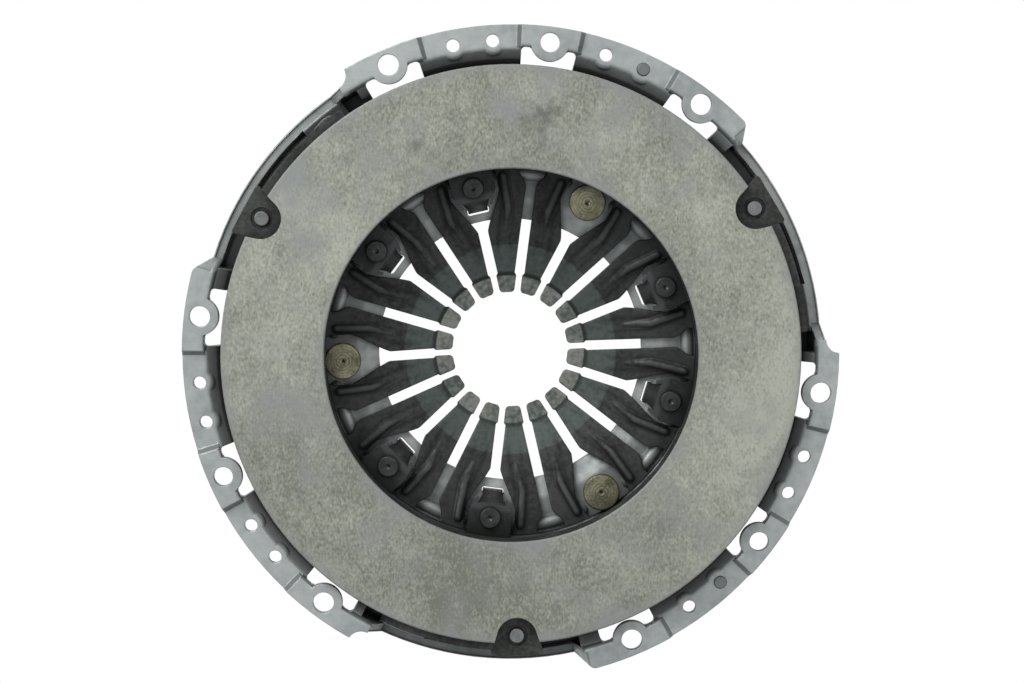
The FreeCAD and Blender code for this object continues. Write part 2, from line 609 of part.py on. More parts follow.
def anchor_rivet():
    """Rivet through the strap pack and the seat in the cover, on the +X axis."""
    top = STRAP_TOP_SEAT_END
    head_top = top + ANCHOR_HEAD_HEIGHT
    tail_back = SEAT_BACK - ANCHOR_HEAD_HEIGHT
    rivet = turned([(0, tail_back), (ANCHOR_TAIL_R, tail_back, -0.6), (ANCHOR_TAIL_R, SEAT_BACK),
                    (STRAP_RIVET_R, SEAT_BACK), (STRAP_RIVET_R, top), (ANCHOR_HEAD_R, top, -0.3),
                    (ANCHOR_HEAD_R - 0.8, head_top, -0.5), (0, head_top)])
    rivet.translate(Vector(ANCHOR_R, 0, 0))
    return rivet


# Diaphragm spring and its fulcrum

def diaphragm_spring():
    """Conical disc with flatter tips: a sector about a straight slot, repeated round the axis."""
    half_pitch = FINGER_PITCH
    tip_drop = math.tan(math.radians(TIP_PAD_DEG)) * (TIP_PAD_R - SPRING_TIP_R)
    bend_z = spring_front(TIP_PAD_R)
    edge_z = spring_front(SPRING_R)
    body = turned([
        (SPRING_TIP_R, bend_z - tip_drop), (TIP_PAD_R, bend_z, 6.0), (SPRING_R, edge_z, -0.5),
        (SPRING_R, edge_z - SPRING_DROP, -0.5), (TIP_PAD_R, bend_z - SPRING_DROP, 6.0),
        (SPRING_TIP_R, bend_z - tip_drop - SPRING_DROP)], 2 * half_pitch, -half_pitch)
    front = turned([(0, spring_front(0) - SPRING_DROP / 2), (SPRING_R, edge_z - SPRING_DROP / 2),
                    (SPRING_R, CLEAR), (0, CLEAR)])
    rib = finger_rib(RIB_R, RIB_R - RIB_HEIGHT).common(front)
    groove = finger_rib(RIB_GROOVE_R, SPRING_DROP + RIB_GROOVE_R - RIB_HEIGHT)
    middle = Vector(0, 1, 0)
    body = body.fuse([rib, rib.mirror(Vector(), middle)])
    opening = spring_opening()
    body = body.cut([groove, groove.mirror(Vector(), middle), straight_slot(),
                     turn(opening, half_pitch), turn(opening, -half_pitch)])
    corners = [e for e in body.Edges if e.BoundBox.ZLength > 0.7 * SPRING_DROP
               and e.BoundBox.DiagonalLength < 1.4 * SPRING_DROP
               and abs(math.hypot(e.CenterOfMass.x, e.CenterOfMass.y) - SPRING_TIP_R) < 0.3]
    body = body.makeFillet(TIP_CORNER_R, corners)
    return joined(around(body, FINGERS // 2, GROUP_ANGLE))


def finger_gap(rows):
    """Cutter for a gap between fingers along +X, from half its outline past the pad slot."""
    tip = TIP_SLOT_WIDTH / 2
    half = [(SPRING_TIP_R - 5, tip, 0), (TIP_PAD_R - 0.5, tip, 0), (TIP_PAD_R + 0.4, FINGER_SLOT_WIDTH / 2, 0)]
    half += rows
    other = [(x, -y, r) for x, y, r in reversed(half)]
    return plate_of(half + other, spring_front(0) - CLEAR, CLEAR)


def straight_slot():
    """Straight slot with a trumpet end."""
    wide = TRUMPET_WIDTH / 2
    return finger_gap([(TRUMPET_START_R, FINGER_SLOT_WIDTH / 2, 8.0), (TRUMPET_END_R - 3, wide, 2.2),
                       (TRUMPET_END_R, wide, 2.2)])


def spring_opening():
    """Slot that widens into the opening of a rivet."""
    wide = OPENING_WIDTH / 2
    return finger_gap([(OPENING_START_R, FINGER_SLOT_WIDTH / 2, 8.0), (OPENING_FLANK_R, wide, 6.0),
                       (OPENING_END_R, wide, 7.0)])


def finger_rib(size, depth):
    """Bar along the rib of the finger beside the slot on +X, its middle at a depth under the front."""
    line = [(RIVET_RING_R + past, side) for past, side in RIB_LINE]
    start, bend, end = [Vector(x, y, spring_front(math.hypot(x, y)) - depth) for x, y in line]
    first = bend - start
    second = end - bend
    overlap = size / 6
    ahead = Vector(second).normalize()
    return joined([
        Part.makeCone(size - RIB_HEIGHT, size, first.Length + overlap, start, first),
        Part.makeCylinder(size, second.Length + overlap, bend - ahead * overlap, ahead),
        Part.makeCone(size, size - RIB_HEIGHT, RIB_END, end, ahead)])


def fulcrum_ring():
    """Front fulcrum wire ring."""
    return Part.makeTorus(WIRE_RING_R, WIRE_R, Vector(0, 0, WIRE_Z))


def clip_angles():
    """Angles of the six clips: beside every third opening, which has a stop rivet."""
    step = 2 * FINGER_PITCH
    first = GROUP_ANGLE + FINGER_PITCH
    return [first + i * step for i in range(FINGERS // 2) if i % 3 != 2]


def stop_angles():
    """Angles of the three stop rivets."""
    step = 2 * FINGER_PITCH
    first = GROUP_ANGLE + FINGER_PITCH
    return [first + i * step for i in range(FINGERS // 2) if i % 3 == 2]


def spring_rivet(head_r, head_height, seat, spacer_r, bore_top):
    """Rivet that holds the spring, on the +X axis: front head, spacer and back head."""
    head_top = seat + head_height
    back = FLOOR_BACK - BACK_HEAD_HEIGHT
    rows = [(0, back), (BACK_HEAD_R - 1.0, back, -0.5), (BACK_HEAD_R, FLOOR_BACK, -0.3),
            (RIVET_SHANK_R, FLOOR_BACK), (RIVET_SHANK_R, FLOOR_FRONT), (spacer_r, FLOOR_FRONT),
            (spacer_r, bore_top)]
    if seat > bore_top:
        rows += [(RIVET_SHANK_R, bore_top), (RIVET_SHANK_R, seat)]
    rows += [(head_r, seat, -0.3), (head_r, head_top, -0.5), (DIMPLE_R, head_top), (0, head_top - 0.6)]
    rivet = turned(rows)
    rivet.translate(Vector(RIVET_RING_R, 0, 0))
    return rivet


def retainer_clip():
    """Flat clip with a lip over the fulcrum ring and a tail bent down through the cover, on +X."""
    lip_r = WIRE_RING_R + WIRE_R + CONTACT_GAP + CLIP_SHEET
    top = HEAD_SEAT + CLIP_SHEET
    hook_z = FLOOR_BACK - FLOOR_LIP_DROP * (FLOOR_LIP_R - CLIP_TAIL_R) / (FLOOR_LIP_R - COVER_BORE_R)
    tail_low = hook_z - 2 * CONTACT_GAP - CLIP_SHEET
    tail_end = CLIP_TAIL_R + CLIP_FOOT_LENGTH
    wide = CLIP_SHOULDER_WIDTH / 2
    toe = CLIP_FOOT_WIDTH / 2
    half = CLIP_TAIL_WIDTH / 2
    relief = half + 0.5
    toe_relief = CLIP_TAIL_END_WIDTH / 2 + 1.1
    plan = [(CLIP_BEND_R, -relief), (CLIP_TOE_R, -toe_relief, 0.2), (CLIP_TOE_R, -toe, 0.5),
            (CLIP_SHOULDER_R, -wide, 2.0), (lip_r, -wide), (lip_r, wide), (CLIP_SHOULDER_R, wide, 2.0),
            (CLIP_TOE_R, toe, 0.5), (CLIP_TOE_R, toe_relief, 0.2), (CLIP_BEND_R, relief)]
    flat = plate_of(plan, HEAD_SEAT, top)
    lip = across([(lip_r - CLIP_SHEET, HEAD_SEAT - CLIP_LIP_DEPTH), (lip_r, HEAD_SEAT - CLIP_LIP_DEPTH),
                  (lip_r, top, CLIP_SHEET), (lip_r - 2 * CLIP_SHEET, top),
                  (lip_r - 2 * CLIP_SHEET, HEAD_SEAT), (lip_r - CLIP_SHEET, HEAD_SEAT)], wide)
    round_edge = across([(CLIP_SHOULDER_R, HEAD_SEAT - 1), (lip_r, HEAD_SEAT - 1),
                         (lip_r, top, CLIP_SHEET), (CLIP_SHOULDER_R - 10, top),
                         (CLIP_SHOULDER_R - 10, HEAD_SEAT - 1)], wide)
    line = [(CLIP_BEND_R + 2, top), (CLIP_BEND_R, top), (CLIP_TAIL_R, FLOOR_FRONT + 2.0),
            (CLIP_TAIL_R, tail_low), (tail_end, tail_low)]
    inside = offset_line(line, CLIP_SHEET)
    bends = [0.0, 1.9, 2.2, 1.8, 0.0]
    inner_bends = [0.0, 0.4, 0.7, 0.3, 0.0]
    rows = [(p[0], p[1], r) for p, r in zip(line, bends)]
    rows += [(p[0], p[1], r) for p, r in zip(reversed(inside), reversed(inner_bends))]
    end_half = CLIP_TAIL_END_WIDTH / 2
    taper = plate_of([(CLIP_TAIL_R - 1, -end_half), (CLIP_TAIL_R + CLIP_SHEET + 0.2, -end_half),
                      (CLIP_BEND_R, -half), (CLIP_BEND_R + CLIP_FOOT_LENGTH, -half),
                      (CLIP_BEND_R + CLIP_FOOT_LENGTH, half), (CLIP_BEND_R, half),
                      (CLIP_TAIL_R + CLIP_SHEET + 0.2, end_half), (CLIP_TAIL_R - 1, end_half)],
                     tail_low - 1, top + 1)
    tail = across(rows, half).common(taper)
    hole = disc(RIVET_SHANK_R + RIVET_FIT, HEAD_SEAT - 1, top + 1, at(RIVET_RING_R, 0))
    return joined([flat.common(round_edge), lip, tail]).cut(hole)


def balance_rivet():
    """Rivet in a balance hole, its head behind the flange, on the +X axis."""
    shank = BALANCE_HOLE_D / 2 - BALANCE_FIT
    back = LOW_BACK - BALANCE_HEAD_HEIGHT
    rivet = turned([(0, back), (BALANCE_HEAD_R - 1.0, back, -0.6), (BALANCE_HEAD_R, LOW_BACK, -0.3),
                    (shank, LOW_BACK), (shank, LOW_TOP + BALANCE_PROUD, -0.3), (0, LOW_TOP + BALANCE_PROUD)])
    rivet.translate(Vector(BOLT_CIRCLE_R, 0, 0))
    return rivet


def main():
    """Build every node and write it."""
    os.makedirs("parts", exist_ok=True)
    save("cover", cover())
    save("pressure_plate", pressure_plate())
    save("diaphragm_spring", diaphragm_spring())
    save("fulcrum_ring", fulcrum_ring())
    clip = retainer_clip()
    main_rivet = spring_rivet(MAIN_HEAD_R, MAIN_HEAD_HEIGHT, HEAD_SEAT + CLIP_SHEET, SPACER_R, HEAD_SEAT)
    for i, angle in enumerate(clip_angles()):
        save("retainer_clip_%d" % (i + 1), turn(clip, angle))
        save("main_rivet_%d" % (i + 1), turn(main_rivet, angle))
    stop_rivet = spring_rivet(STOP_HEAD_R, STOP_HEAD_HEIGHT, HEAD_SEAT, SPACER_R, HEAD_SEAT)
    for i, angle in enumerate(stop_angles()):
        save("stop_rivet_%d" % (i + 1), turn(stop_rivet, angle))
    for i, letter in enumerate("abc"):
        angle = GROUP_ANGLE + LUG_ANGLE + i * PITCH
        save("lug_rivet_%s" % letter, turn(lug_rivet(), angle))
        save("strap_anchor_rivet_%s" % letter, turn(anchor_rivet(), angle - SEAT_SWEEP))
        for level in range(STRAP_LEAVES):
            save("strap_%s_leaf_%d" % (letter, level + 1), turn(strap_leaf(level), i * PITCH))
    rivets = [turn(balance_rivet(), GROUP_ANGLE + group * PITCH + angle) for group, angle in FILLED_HOLES]
    save("balance_rivets", Part.makeCompound(rivets))


main()
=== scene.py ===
import json
import logging
import math
from dataclasses import dataclass
from enum import Enum
from typing import Callable, Iterable, Sequence

import bmesh
import bpy
import numpy as np
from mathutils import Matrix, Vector
from mathutils.geometry import delaunay_2d_cdt


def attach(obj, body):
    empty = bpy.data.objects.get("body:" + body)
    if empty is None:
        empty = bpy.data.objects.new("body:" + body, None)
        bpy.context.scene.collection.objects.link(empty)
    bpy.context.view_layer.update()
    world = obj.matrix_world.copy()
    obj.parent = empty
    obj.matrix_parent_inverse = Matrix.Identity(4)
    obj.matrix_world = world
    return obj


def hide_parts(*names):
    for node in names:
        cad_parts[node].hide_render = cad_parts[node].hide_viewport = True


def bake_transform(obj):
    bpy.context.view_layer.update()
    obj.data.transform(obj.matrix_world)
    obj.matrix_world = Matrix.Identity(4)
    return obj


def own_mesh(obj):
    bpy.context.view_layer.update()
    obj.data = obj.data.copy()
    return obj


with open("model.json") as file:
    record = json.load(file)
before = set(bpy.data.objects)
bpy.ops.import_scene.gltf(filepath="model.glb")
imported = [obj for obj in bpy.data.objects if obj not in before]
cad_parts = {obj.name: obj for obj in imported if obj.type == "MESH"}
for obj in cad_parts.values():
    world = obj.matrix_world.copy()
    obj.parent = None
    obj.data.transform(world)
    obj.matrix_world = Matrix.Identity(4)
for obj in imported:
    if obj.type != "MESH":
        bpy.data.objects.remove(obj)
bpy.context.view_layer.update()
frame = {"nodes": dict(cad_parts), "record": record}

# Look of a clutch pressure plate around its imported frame: spring, straps, low rim, finishes and light.
# Sizes are in millimetres until a mesh is built, and every mesh is in metres.

LOG = logging.getLogger("clutch")
MM = 0.001
Colour = tuple[float, float, float]
Span = tuple[float, float]
Socket = bpy.types.NodeSocket
Tree = bpy.types.NodeTree
Piece = bpy.types.Object
Array = np.ndarray
Sockets = Sequence[Socket]
WHITE = (1.0, 1.0, 1.0, 1.0)


class Body(str, Enum):
    """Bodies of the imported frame."""

    COVER = "cover"
    PLATE = "pressure_plate"


class Slot(str, Enum):
    """Material slots of the record."""

    COVER = "cover_sheet"
    IRON = "cast_iron"
    SPRING = "spring_steel"
    WIRE = "wire_steel"
    DARK_RIVET = "dark_rivet"
    CLIP = "clip_steel"
    YELLOW_RIVET = "yellow_plated_rivet"
    LUG_RIVET = "lug_rivet_steel"
    STRAP = "strap_steel"


Materials = dict[Slot, bpy.types.Material]


# Shader building

VECTOR_SOCKETS = ("Vector", "Centre", "Normal")


class Graph:
    """Short way to write a node tree."""

    def __init__(self, tree: Tree) -> None:
        """Start from an empty tree."""
        self.tree = tree
        tree.nodes.clear()

    def add(self, kind: str, inputs: dict | None = None, **settings: object) -> bpy.types.Node:
        """Add a node.

        Args:
            kind: node type, without the ShaderNode prefix.
            inputs: constants or output sockets by input name or index.
            settings: properties of the node.

        Returns:
            The new node.
        """
        node = self.tree.nodes.new("ShaderNode" + kind)
        for name, value in settings.items():
            setattr(node, name, value)
        return self.feed(node, inputs or {})

    def feed(self, node: bpy.types.Node, inputs: dict) -> bpy.types.Node:
        """Node with its inputs linked or set."""
        for key, value in inputs.items():
            if isinstance(value, Socket):
                self.tree.links.new(value, node.inputs[key])
            else:
                node.inputs[key].default_value = value
        return node

    def math(self, operation: str, *values: object, clamp: bool = False) -> Socket:
        """Result of a math node on constants or sockets."""
        return self.add("Math", dict(enumerate(values)), operation=operation, use_clamp=clamp).outputs[0]

    def times(self, first: object, *rest: object) -> Socket:
        """Product of constants or sockets."""
        for value in rest:
            first = self.math("MULTIPLY", first, value)
        return first

    def plus(self, first: object, *rest: object) -> Socket:
        """Sum of constants or sockets."""
        for value in rest:
            first = self.math("ADD", first, value)
        return first

    def mix(self, factor: object, first: object, second: object) -> Socket:
        """Colour between two colours by a factor."""
        first, second = ((*value, 1.0) if isinstance(value, tuple) else value for value in (first, second))
        return self.add("Mix", {0: factor, 6: first, 7: second}, data_type="RGBA").outputs[2]

    def span(self, value: object, low: float, high: float, to_low: float = 0.0,
             to_high: float = 1.0) -> Socket:
        """Value mapped from one span to another and held inside it."""
        return self.add("MapRange", {0: value, 1: low, 2: high, 3: to_low, 4: to_high}).outputs[0]

    def group(self, tree: Tree, **inputs: object) -> bpy.types.Node:
        """Instance of a shader group."""
        return self.feed(self.add("Group", None, node_tree=tree), inputs)

    def noise(self, place: Socket, scale: object, detail: float, **more: float) -> Socket:
        """Value of a noise texture."""
        return self.add("TexNoise", {"Vector": place, "Scale": scale, "Detail": detail, **more}).outputs[0]

    def upward(self) -> Socket:
        """Vertical part of the surface's normal."""
        return self.add("SeparateXYZ", {0: self.add("NewGeometry").outputs["Normal"]}).outputs[2]


def new_group(name: str, inputs: Sequence[str], outputs: Sequence[str],
              body: Callable[..., Sockets]) -> Tree:
    """Shader group made by a function.

    Args:
        name: name of the group.
        inputs: names of its inputs.
        outputs: names of its outputs.
        body: takes the graph and the input sockets, and returns the output sockets.

    Returns:
        The tree of the group.
    """
    tree = bpy.data.node_groups.new(name, "ShaderNodeTree")
    for in_out, labels in (("INPUT", inputs), ("OUTPUT", outputs)):
        for label in labels:
            kind = "Vector" if label in VECTOR_SOCKETS else "Float"
            tree.interface.new_socket(label, in_out=in_out, socket_type="NodeSocket" + kind)
    graph = Graph(tree)
    given = tree.nodes.new("NodeGroupInput")
    out = tree.nodes.new("NodeGroupOutput")
    for i, value in enumerate(body(graph, *given.outputs[:len(inputs)])):
        tree.links.new(value, out.inputs[i])
    return tree


class Effects:
    """Shader groups that the finishes share. They put out only values and normals."""

    def __init__(self) -> None:
        """Build every group once."""
        self.mottle = new_group("Mottle", ("Vector", "Scale", "Fine"), ("Value",), self.draw_mottle)
        self.polar = new_group("Polar", ("Vector",), ("Radius", "Angle", "Height"), self.draw_polar)
        self.soft_edge = new_group("Soft edge", ("Height", "Strength", "Distance", "Radius"),
                                   ("Normal", "Edge"), self.draw_soft_edge)
        self.grain = new_group("Cross grain", ("Vector", "Scale"), ("Value",), self.draw_grain)
        self.own_radius = new_group("Own radius", ("Vector", "Circle", "First", "Pitch"), ("Distance",),
                                    self.draw_own_radius)
        self.spot = new_group("Spot", ("Vector", "Centre", "Size"), ("Value",), self.draw_spot)

    def draw_mottle(self, graph: Graph, place: Socket, scale: Socket, fine: Socket) -> Sockets:
        """Cloudy value from two noises, one coarse and one fine."""
        coarse = graph.noise(place, scale, 4.0, Roughness=0.55)
        centred = graph.math("SUBTRACT", graph.noise(place, graph.times(scale, 9.0), 3.0), 0.5)
        return [graph.math("MULTIPLY_ADD", centred, fine, coarse, clamp=True)]

    def draw_polar(self, graph: Graph, place: Socket) -> Sockets:
        """Radius in millimetres, angle and height about the clutch axis."""
        x, y, z = graph.add("SeparateXYZ", {0: place}).outputs
        squares = graph.plus(*(graph.math("POWER", side, 2.0) for side in (x, y)))
        return [graph.times(graph.math("SQRT", squares), 1 / MM), graph.math("ARCTAN2", y, x),
                graph.times(z, 1 / MM)]

    def draw_soft_edge(self, graph: Graph, height: Socket, strength: Socket, distance: Socket,
                       radius: Socket) -> Sockets:
        """Normal with rounded edges and a bump, and a mask that is one at the edges."""
        bevel = graph.add("Bevel", {"Radius": radius}, samples=6)
        bump = graph.add("Bump", {"Height": height, "Strength": strength, "Distance": distance,
                                  "Normal": bevel.outputs[0]})
        dot = graph.add("VectorMath", {0: bevel.outputs[0], 1: graph.add("NewGeometry").outputs["Normal"]},
                        operation="DOT_PRODUCT")
        return [bump.outputs[0], graph.span(dot.outputs["Value"], 0.995, 0.8)]

    def draw_grain(self, graph: Graph, place: Socket, scale: Socket) -> Sockets:
        """Fine cross-hatched grinding grain: two crossing families of short lines."""
        values = []
        for angle in (0.6, -0.7):
            turned = graph.add("Mapping", {"Vector": place, "Rotation": (0.0, 0.0, angle),
                                           "Scale": (1.0, 0.45, 1.0)})
            values.append(graph.noise(turned.outputs[0], scale, 2.0, Distortion=0.3))
        return [graph.times(graph.plus(*values), 0.5)]

    def draw_own_radius(self, graph: Graph, place: Socket, circle: Socket, first: Socket,
                        pitch: Socket) -> Sockets:
        """Millimetres from the axis of the nearest of some pieces spaced evenly round a circle."""
        radius, angle, _ = graph.group(self.polar, Vector=place).outputs
        half = graph.times(pitch, 0.5)
        turned = graph.math("SUBTRACT", angle, first)
        folded = graph.math("WRAP", turned, half, graph.times(half, -1.0))
        along = graph.math("SUBTRACT", graph.times(radius, graph.math("COSINE", folded)), circle)
        aside = graph.times(radius, graph.math("SINE", folded))
        squares = graph.plus(*(graph.math("POWER", side, 2.0) for side in (along, aside)))
        return [graph.math("SQRT", squares)]

    def draw_spot(self, graph: Graph, place: Socket, centre: Socket, size: Socket) -> Sockets:
        """Ragged spot: one near a centre, zero past its size."""
        away = graph.add("VectorMath", {0: place, 1: centre}, operation="DISTANCE").outputs["Value"]
        ragged = graph.span(graph.noise(place, 260.0, 4.0), 0.3, 0.7, -0.45, 0.45)
        return [graph.span(graph.plus(graph.math("DIVIDE", away, size), ragged), 1.0, 0.3)]


# Finishes

class Paint(Graph):
    """Node tree of a finish, with the shared groups and the place on the object."""

    def __init__(self, tree: Tree, effects: Effects) -> None:
        """Start with the place alone."""
        super().__init__(tree)
        self.effects = effects
        self.place = self.add("TexCoord").outputs["Object"]

    def effect(self, group: Tree, **inputs: object) -> Socket:
        """First output of a shared group at the place."""
        return self.group(group, Vector=self.place, **inputs).outputs[0]

    def about_axis(self) -> Sockets:
        """Radius in millimetres, angle and height of the place."""
        return self.group(self.effects.polar, Vector=self.place).outputs


@dataclass(frozen=True)
class Finish:
    """One procedural finish.

    The surface is a metal or coating whose colour drifts between two tones with a cloudy value, takes
    painted shade in the corners and a painted highlight on the edges. Here and in the finishes below,
    radii, heights and zones on the clutch are in millimetres, and the reach of a shader node is in metres.
    """

    slot: Slot
    light: Colour
    dark: Colour
    metallic: float = 0.8
    roughness: float = 0.4
    roughness_drift: float = 0.12
    cloud_span: Span = (0.32, 0.68)
    cloud_scale: float = 26.0
    fine: float = 0.5
    bump: float = 0.12
    bump_scale: float = 900.0
    bump_depth: float = 0.2 * MM
    edge_radius: float = 0.5 * MM
    edge_gain: float = 0.25
    edge_light: float = 1.7
    corner_reach: float = 12 * MM
    corner_shade: float = 0.9
    corner_closed: float = 0.2
    corner_open: float = 0.95
    corner_facing: Span = (-0.7, -0.3)
    corner_shade_colour: Colour = (0.006, 0.0065, 0.006)
    specular: float = 0.5

    def make(self, effects: Effects) -> bpy.types.Material:
        """Material of this finish, made with the shared shader groups."""
        material = bpy.data.materials.new("Finish " + self.slot.value)
        material.use_nodes = True
        graph = Paint(material.node_tree, effects)
        cloud = graph.effect(effects.mottle, Scale=self.cloud_scale, Fine=self.fine)
        tone = graph.span(cloud, *self.cloud_span)
        colour = graph.mix(tone, self.dark, self.light)
        speck = graph.noise(graph.place, self.bump_scale, 3.0)
        edge = graph.group(effects.soft_edge, Height=speck, Strength=self.bump, Distance=self.bump_depth,
                           Radius=self.edge_radius)
        colour = self.tint(graph, colour, tone)
        # Painted highlight: rounded edges are mixed towards a paler copy of the light tone.
        edge_highlight = tuple(min(1.0, channel * self.edge_light + 0.02) for channel in self.light)
        edge_share = graph.times(edge.outputs[1], self.edge_gain)
        colour = graph.mix(edge_share, colour, edge_highlight)
        colour = self.shade_corners(graph, colour)
        rough = graph.span(tone, 0.0, 1.0, self.roughness + self.roughness_drift,
                           self.roughness - self.roughness_drift)
        surface = graph.add("BsdfPrincipled", {"Base Color": colour, "Metallic": self.metallic,
                                               "Roughness": rough, "Normal": edge.outputs[0],
                                               "Specular IOR Level": self.specular})
        graph.add("OutputMaterial", {0: surface.outputs[0]})
        return material

    def tint(self, graph: Paint, colour: Socket, tone: Socket) -> Socket:
        """Colour with the marks of this finish. The plain finish has none."""
        return colour

    def shade_corners(self, graph: Paint, colour: Socket) -> Socket:
        """Colour with painted shade in corners and hollows, apart from faces that look down."""
        hollow = graph.add("AmbientOcclusion", {"Distance": self.corner_reach}, samples=8).outputs["AO"]
        share = graph.span(hollow, self.corner_closed, self.corner_open, self.corner_shade, 0.0)
        share = graph.times(share, self.corner_weight(graph),
                            graph.span(graph.upward(), *self.corner_facing))
        return graph.mix(share, colour, self.corner_shade_colour)

    def corner_weight(self, graph: Paint) -> Socket | float:
        """How much of the corner shade a place gets. The plain finish has it everywhere."""
        return 1.0


@dataclass(frozen=True)
class CoverFinish(Finish):
    """Oiled sheet steel with painted shade on its walls and bends, on a rim band towards -Y and on a
    near-black ledge.
    """

    wall_top: float = -2.6
    wall_dark: float = -12.0
    wall_share: float = 0.25
    floor_r: float = 100.0
    floor_share: float = 0.45
    group_angle: float = math.radians(82.8)
    group_half: float = math.radians(38.4)
    # Painted shade on the bends between pads and recesses and on the rim band.
    bend_top: Span = (-0.15, -0.5)
    bend_foot: Span = (-2.45, -2.1)
    bend_shade_share: float = 0.5
    bend_shade_colour: Colour = (0.03, 0.034, 0.034)
    flange_r: float = 126.5
    band_top: float = -15.0
    band_weight: float = 0.35
    band_shade_share: float = 0.62
    # Painted shade: the ledge in each rim gap is painted near black.
    ledge_r: float = 106.0
    ledge_shade_share: float = 0.92
    ledge_shade_colour: Colour = (0.012, 0.013, 0.013)

    def tint(self, graph: Paint, colour: Socket, tone: Socket) -> Socket:
        """Painted shade on the bends between pads and recesses, on the rim band towards -Y and on the ledge
        in it.
        """
        radius, angle, height = graph.about_axis()
        # Painted shade: bends and the rim band are darkened, the band more towards -Y.
        bend = graph.times(graph.span(height, *self.bend_top), graph.span(height, *self.bend_foot))
        band = graph.span(height, self.band_top + 0.5, self.band_top)
        outer = graph.span(radius, self.flange_r, self.flange_r + 0.3)
        marked = graph.times(graph.math("MAXIMUM", bend, band), outer)
        turned = graph.math("SUBTRACT", angle, self.group_angle)
        folded = graph.math("ABSOLUTE", graph.math("WRAP", turned, math.pi / 3, -math.pi / 3))
        in_group = graph.span(folded, self.group_half + 0.01, self.group_half)
        south_shade = graph.span(graph.math("SINE", angle), 0.1, -0.85, 0.0, self.band_shade_share)
        share = graph.add("Mix", {0: in_group, 2: south_shade, 3: self.bend_shade_share}, data_type="FLOAT").outputs[0]
        sheet = graph.mix(graph.times(marked, share), colour, self.bend_shade_colour)
        # Painted shade: the upward faces of the ledge go near black.
        ledge = graph.times(
            graph.span(graph.upward(), 0.3, 0.7),
            graph.span(height, self.band_top + 2.0, self.band_top + 1.0),
            graph.span(radius, self.ledge_r, self.ledge_r + 2.0),
            graph.span(radius, self.flange_r + 1.6, self.flange_r + 0.8, 0.0, self.ledge_shade_share))
        return graph.mix(ledge, sheet, self.ledge_shade_colour)

    def corner_weight(self, graph: Paint) -> Socket | float:
        """Little shade at the top of a wall, on the floor under the spring and out on the rim band."""
        radius, _, height = graph.about_axis()
        deep = graph.span(height, self.wall_top, self.wall_dark, self.wall_share, 1.0)
        floor = graph.span(radius, self.floor_r - 4.0, self.floor_r, self.floor_share, 1.0)
        band = graph.span(radius, self.flange_r + 0.5, self.flange_r + 2.0, 1.0, self.band_weight)
        return graph.times(deep, floor, band)


@dataclass(frozen=True)
class DarkRivetFinish(Finish):
    """Dark rivet steel, paler on the balance rivets out in the flange."""

    flange_r: float = 125.0
    flange_colour: Colour = (0.15, 0.165, 0.16)

    def tint(self, graph: Paint, colour: Socket, tone: Socket) -> Socket:
        """Paler colour outside a radius."""
        radius = graph.about_axis()["Radius"]
        return graph.mix(graph.span(radius, self.flange_r, self.flange_r + 0.5), colour, self.flange_colour)


@dataclass(frozen=True)
class ClipFinish(Finish):
    """Clip steel, dark round the rivet with oil and painted shade, and paler at the feet beside the tail
    with painted light.
    """

    foot_r: float = 68.5
    foot_heights: Span = (-16.6, -16.0)
    lit_foot_share: float = 0.8
    lit_foot_colour: Colour = (0.062, 0.067, 0.066)

    def tint(self, graph: Paint, colour: Socket, tone: Socket) -> Socket:
        """Painted light: paler feet on the flat of the clip."""
        radius, _, height = graph.about_axis()
        foot = graph.times(graph.span(radius, self.foot_r + 0.8, self.foot_r - 0.8),
                           graph.span(height, *self.foot_heights), self.lit_foot_share)
        return graph.mix(foot, colour, self.lit_foot_colour)


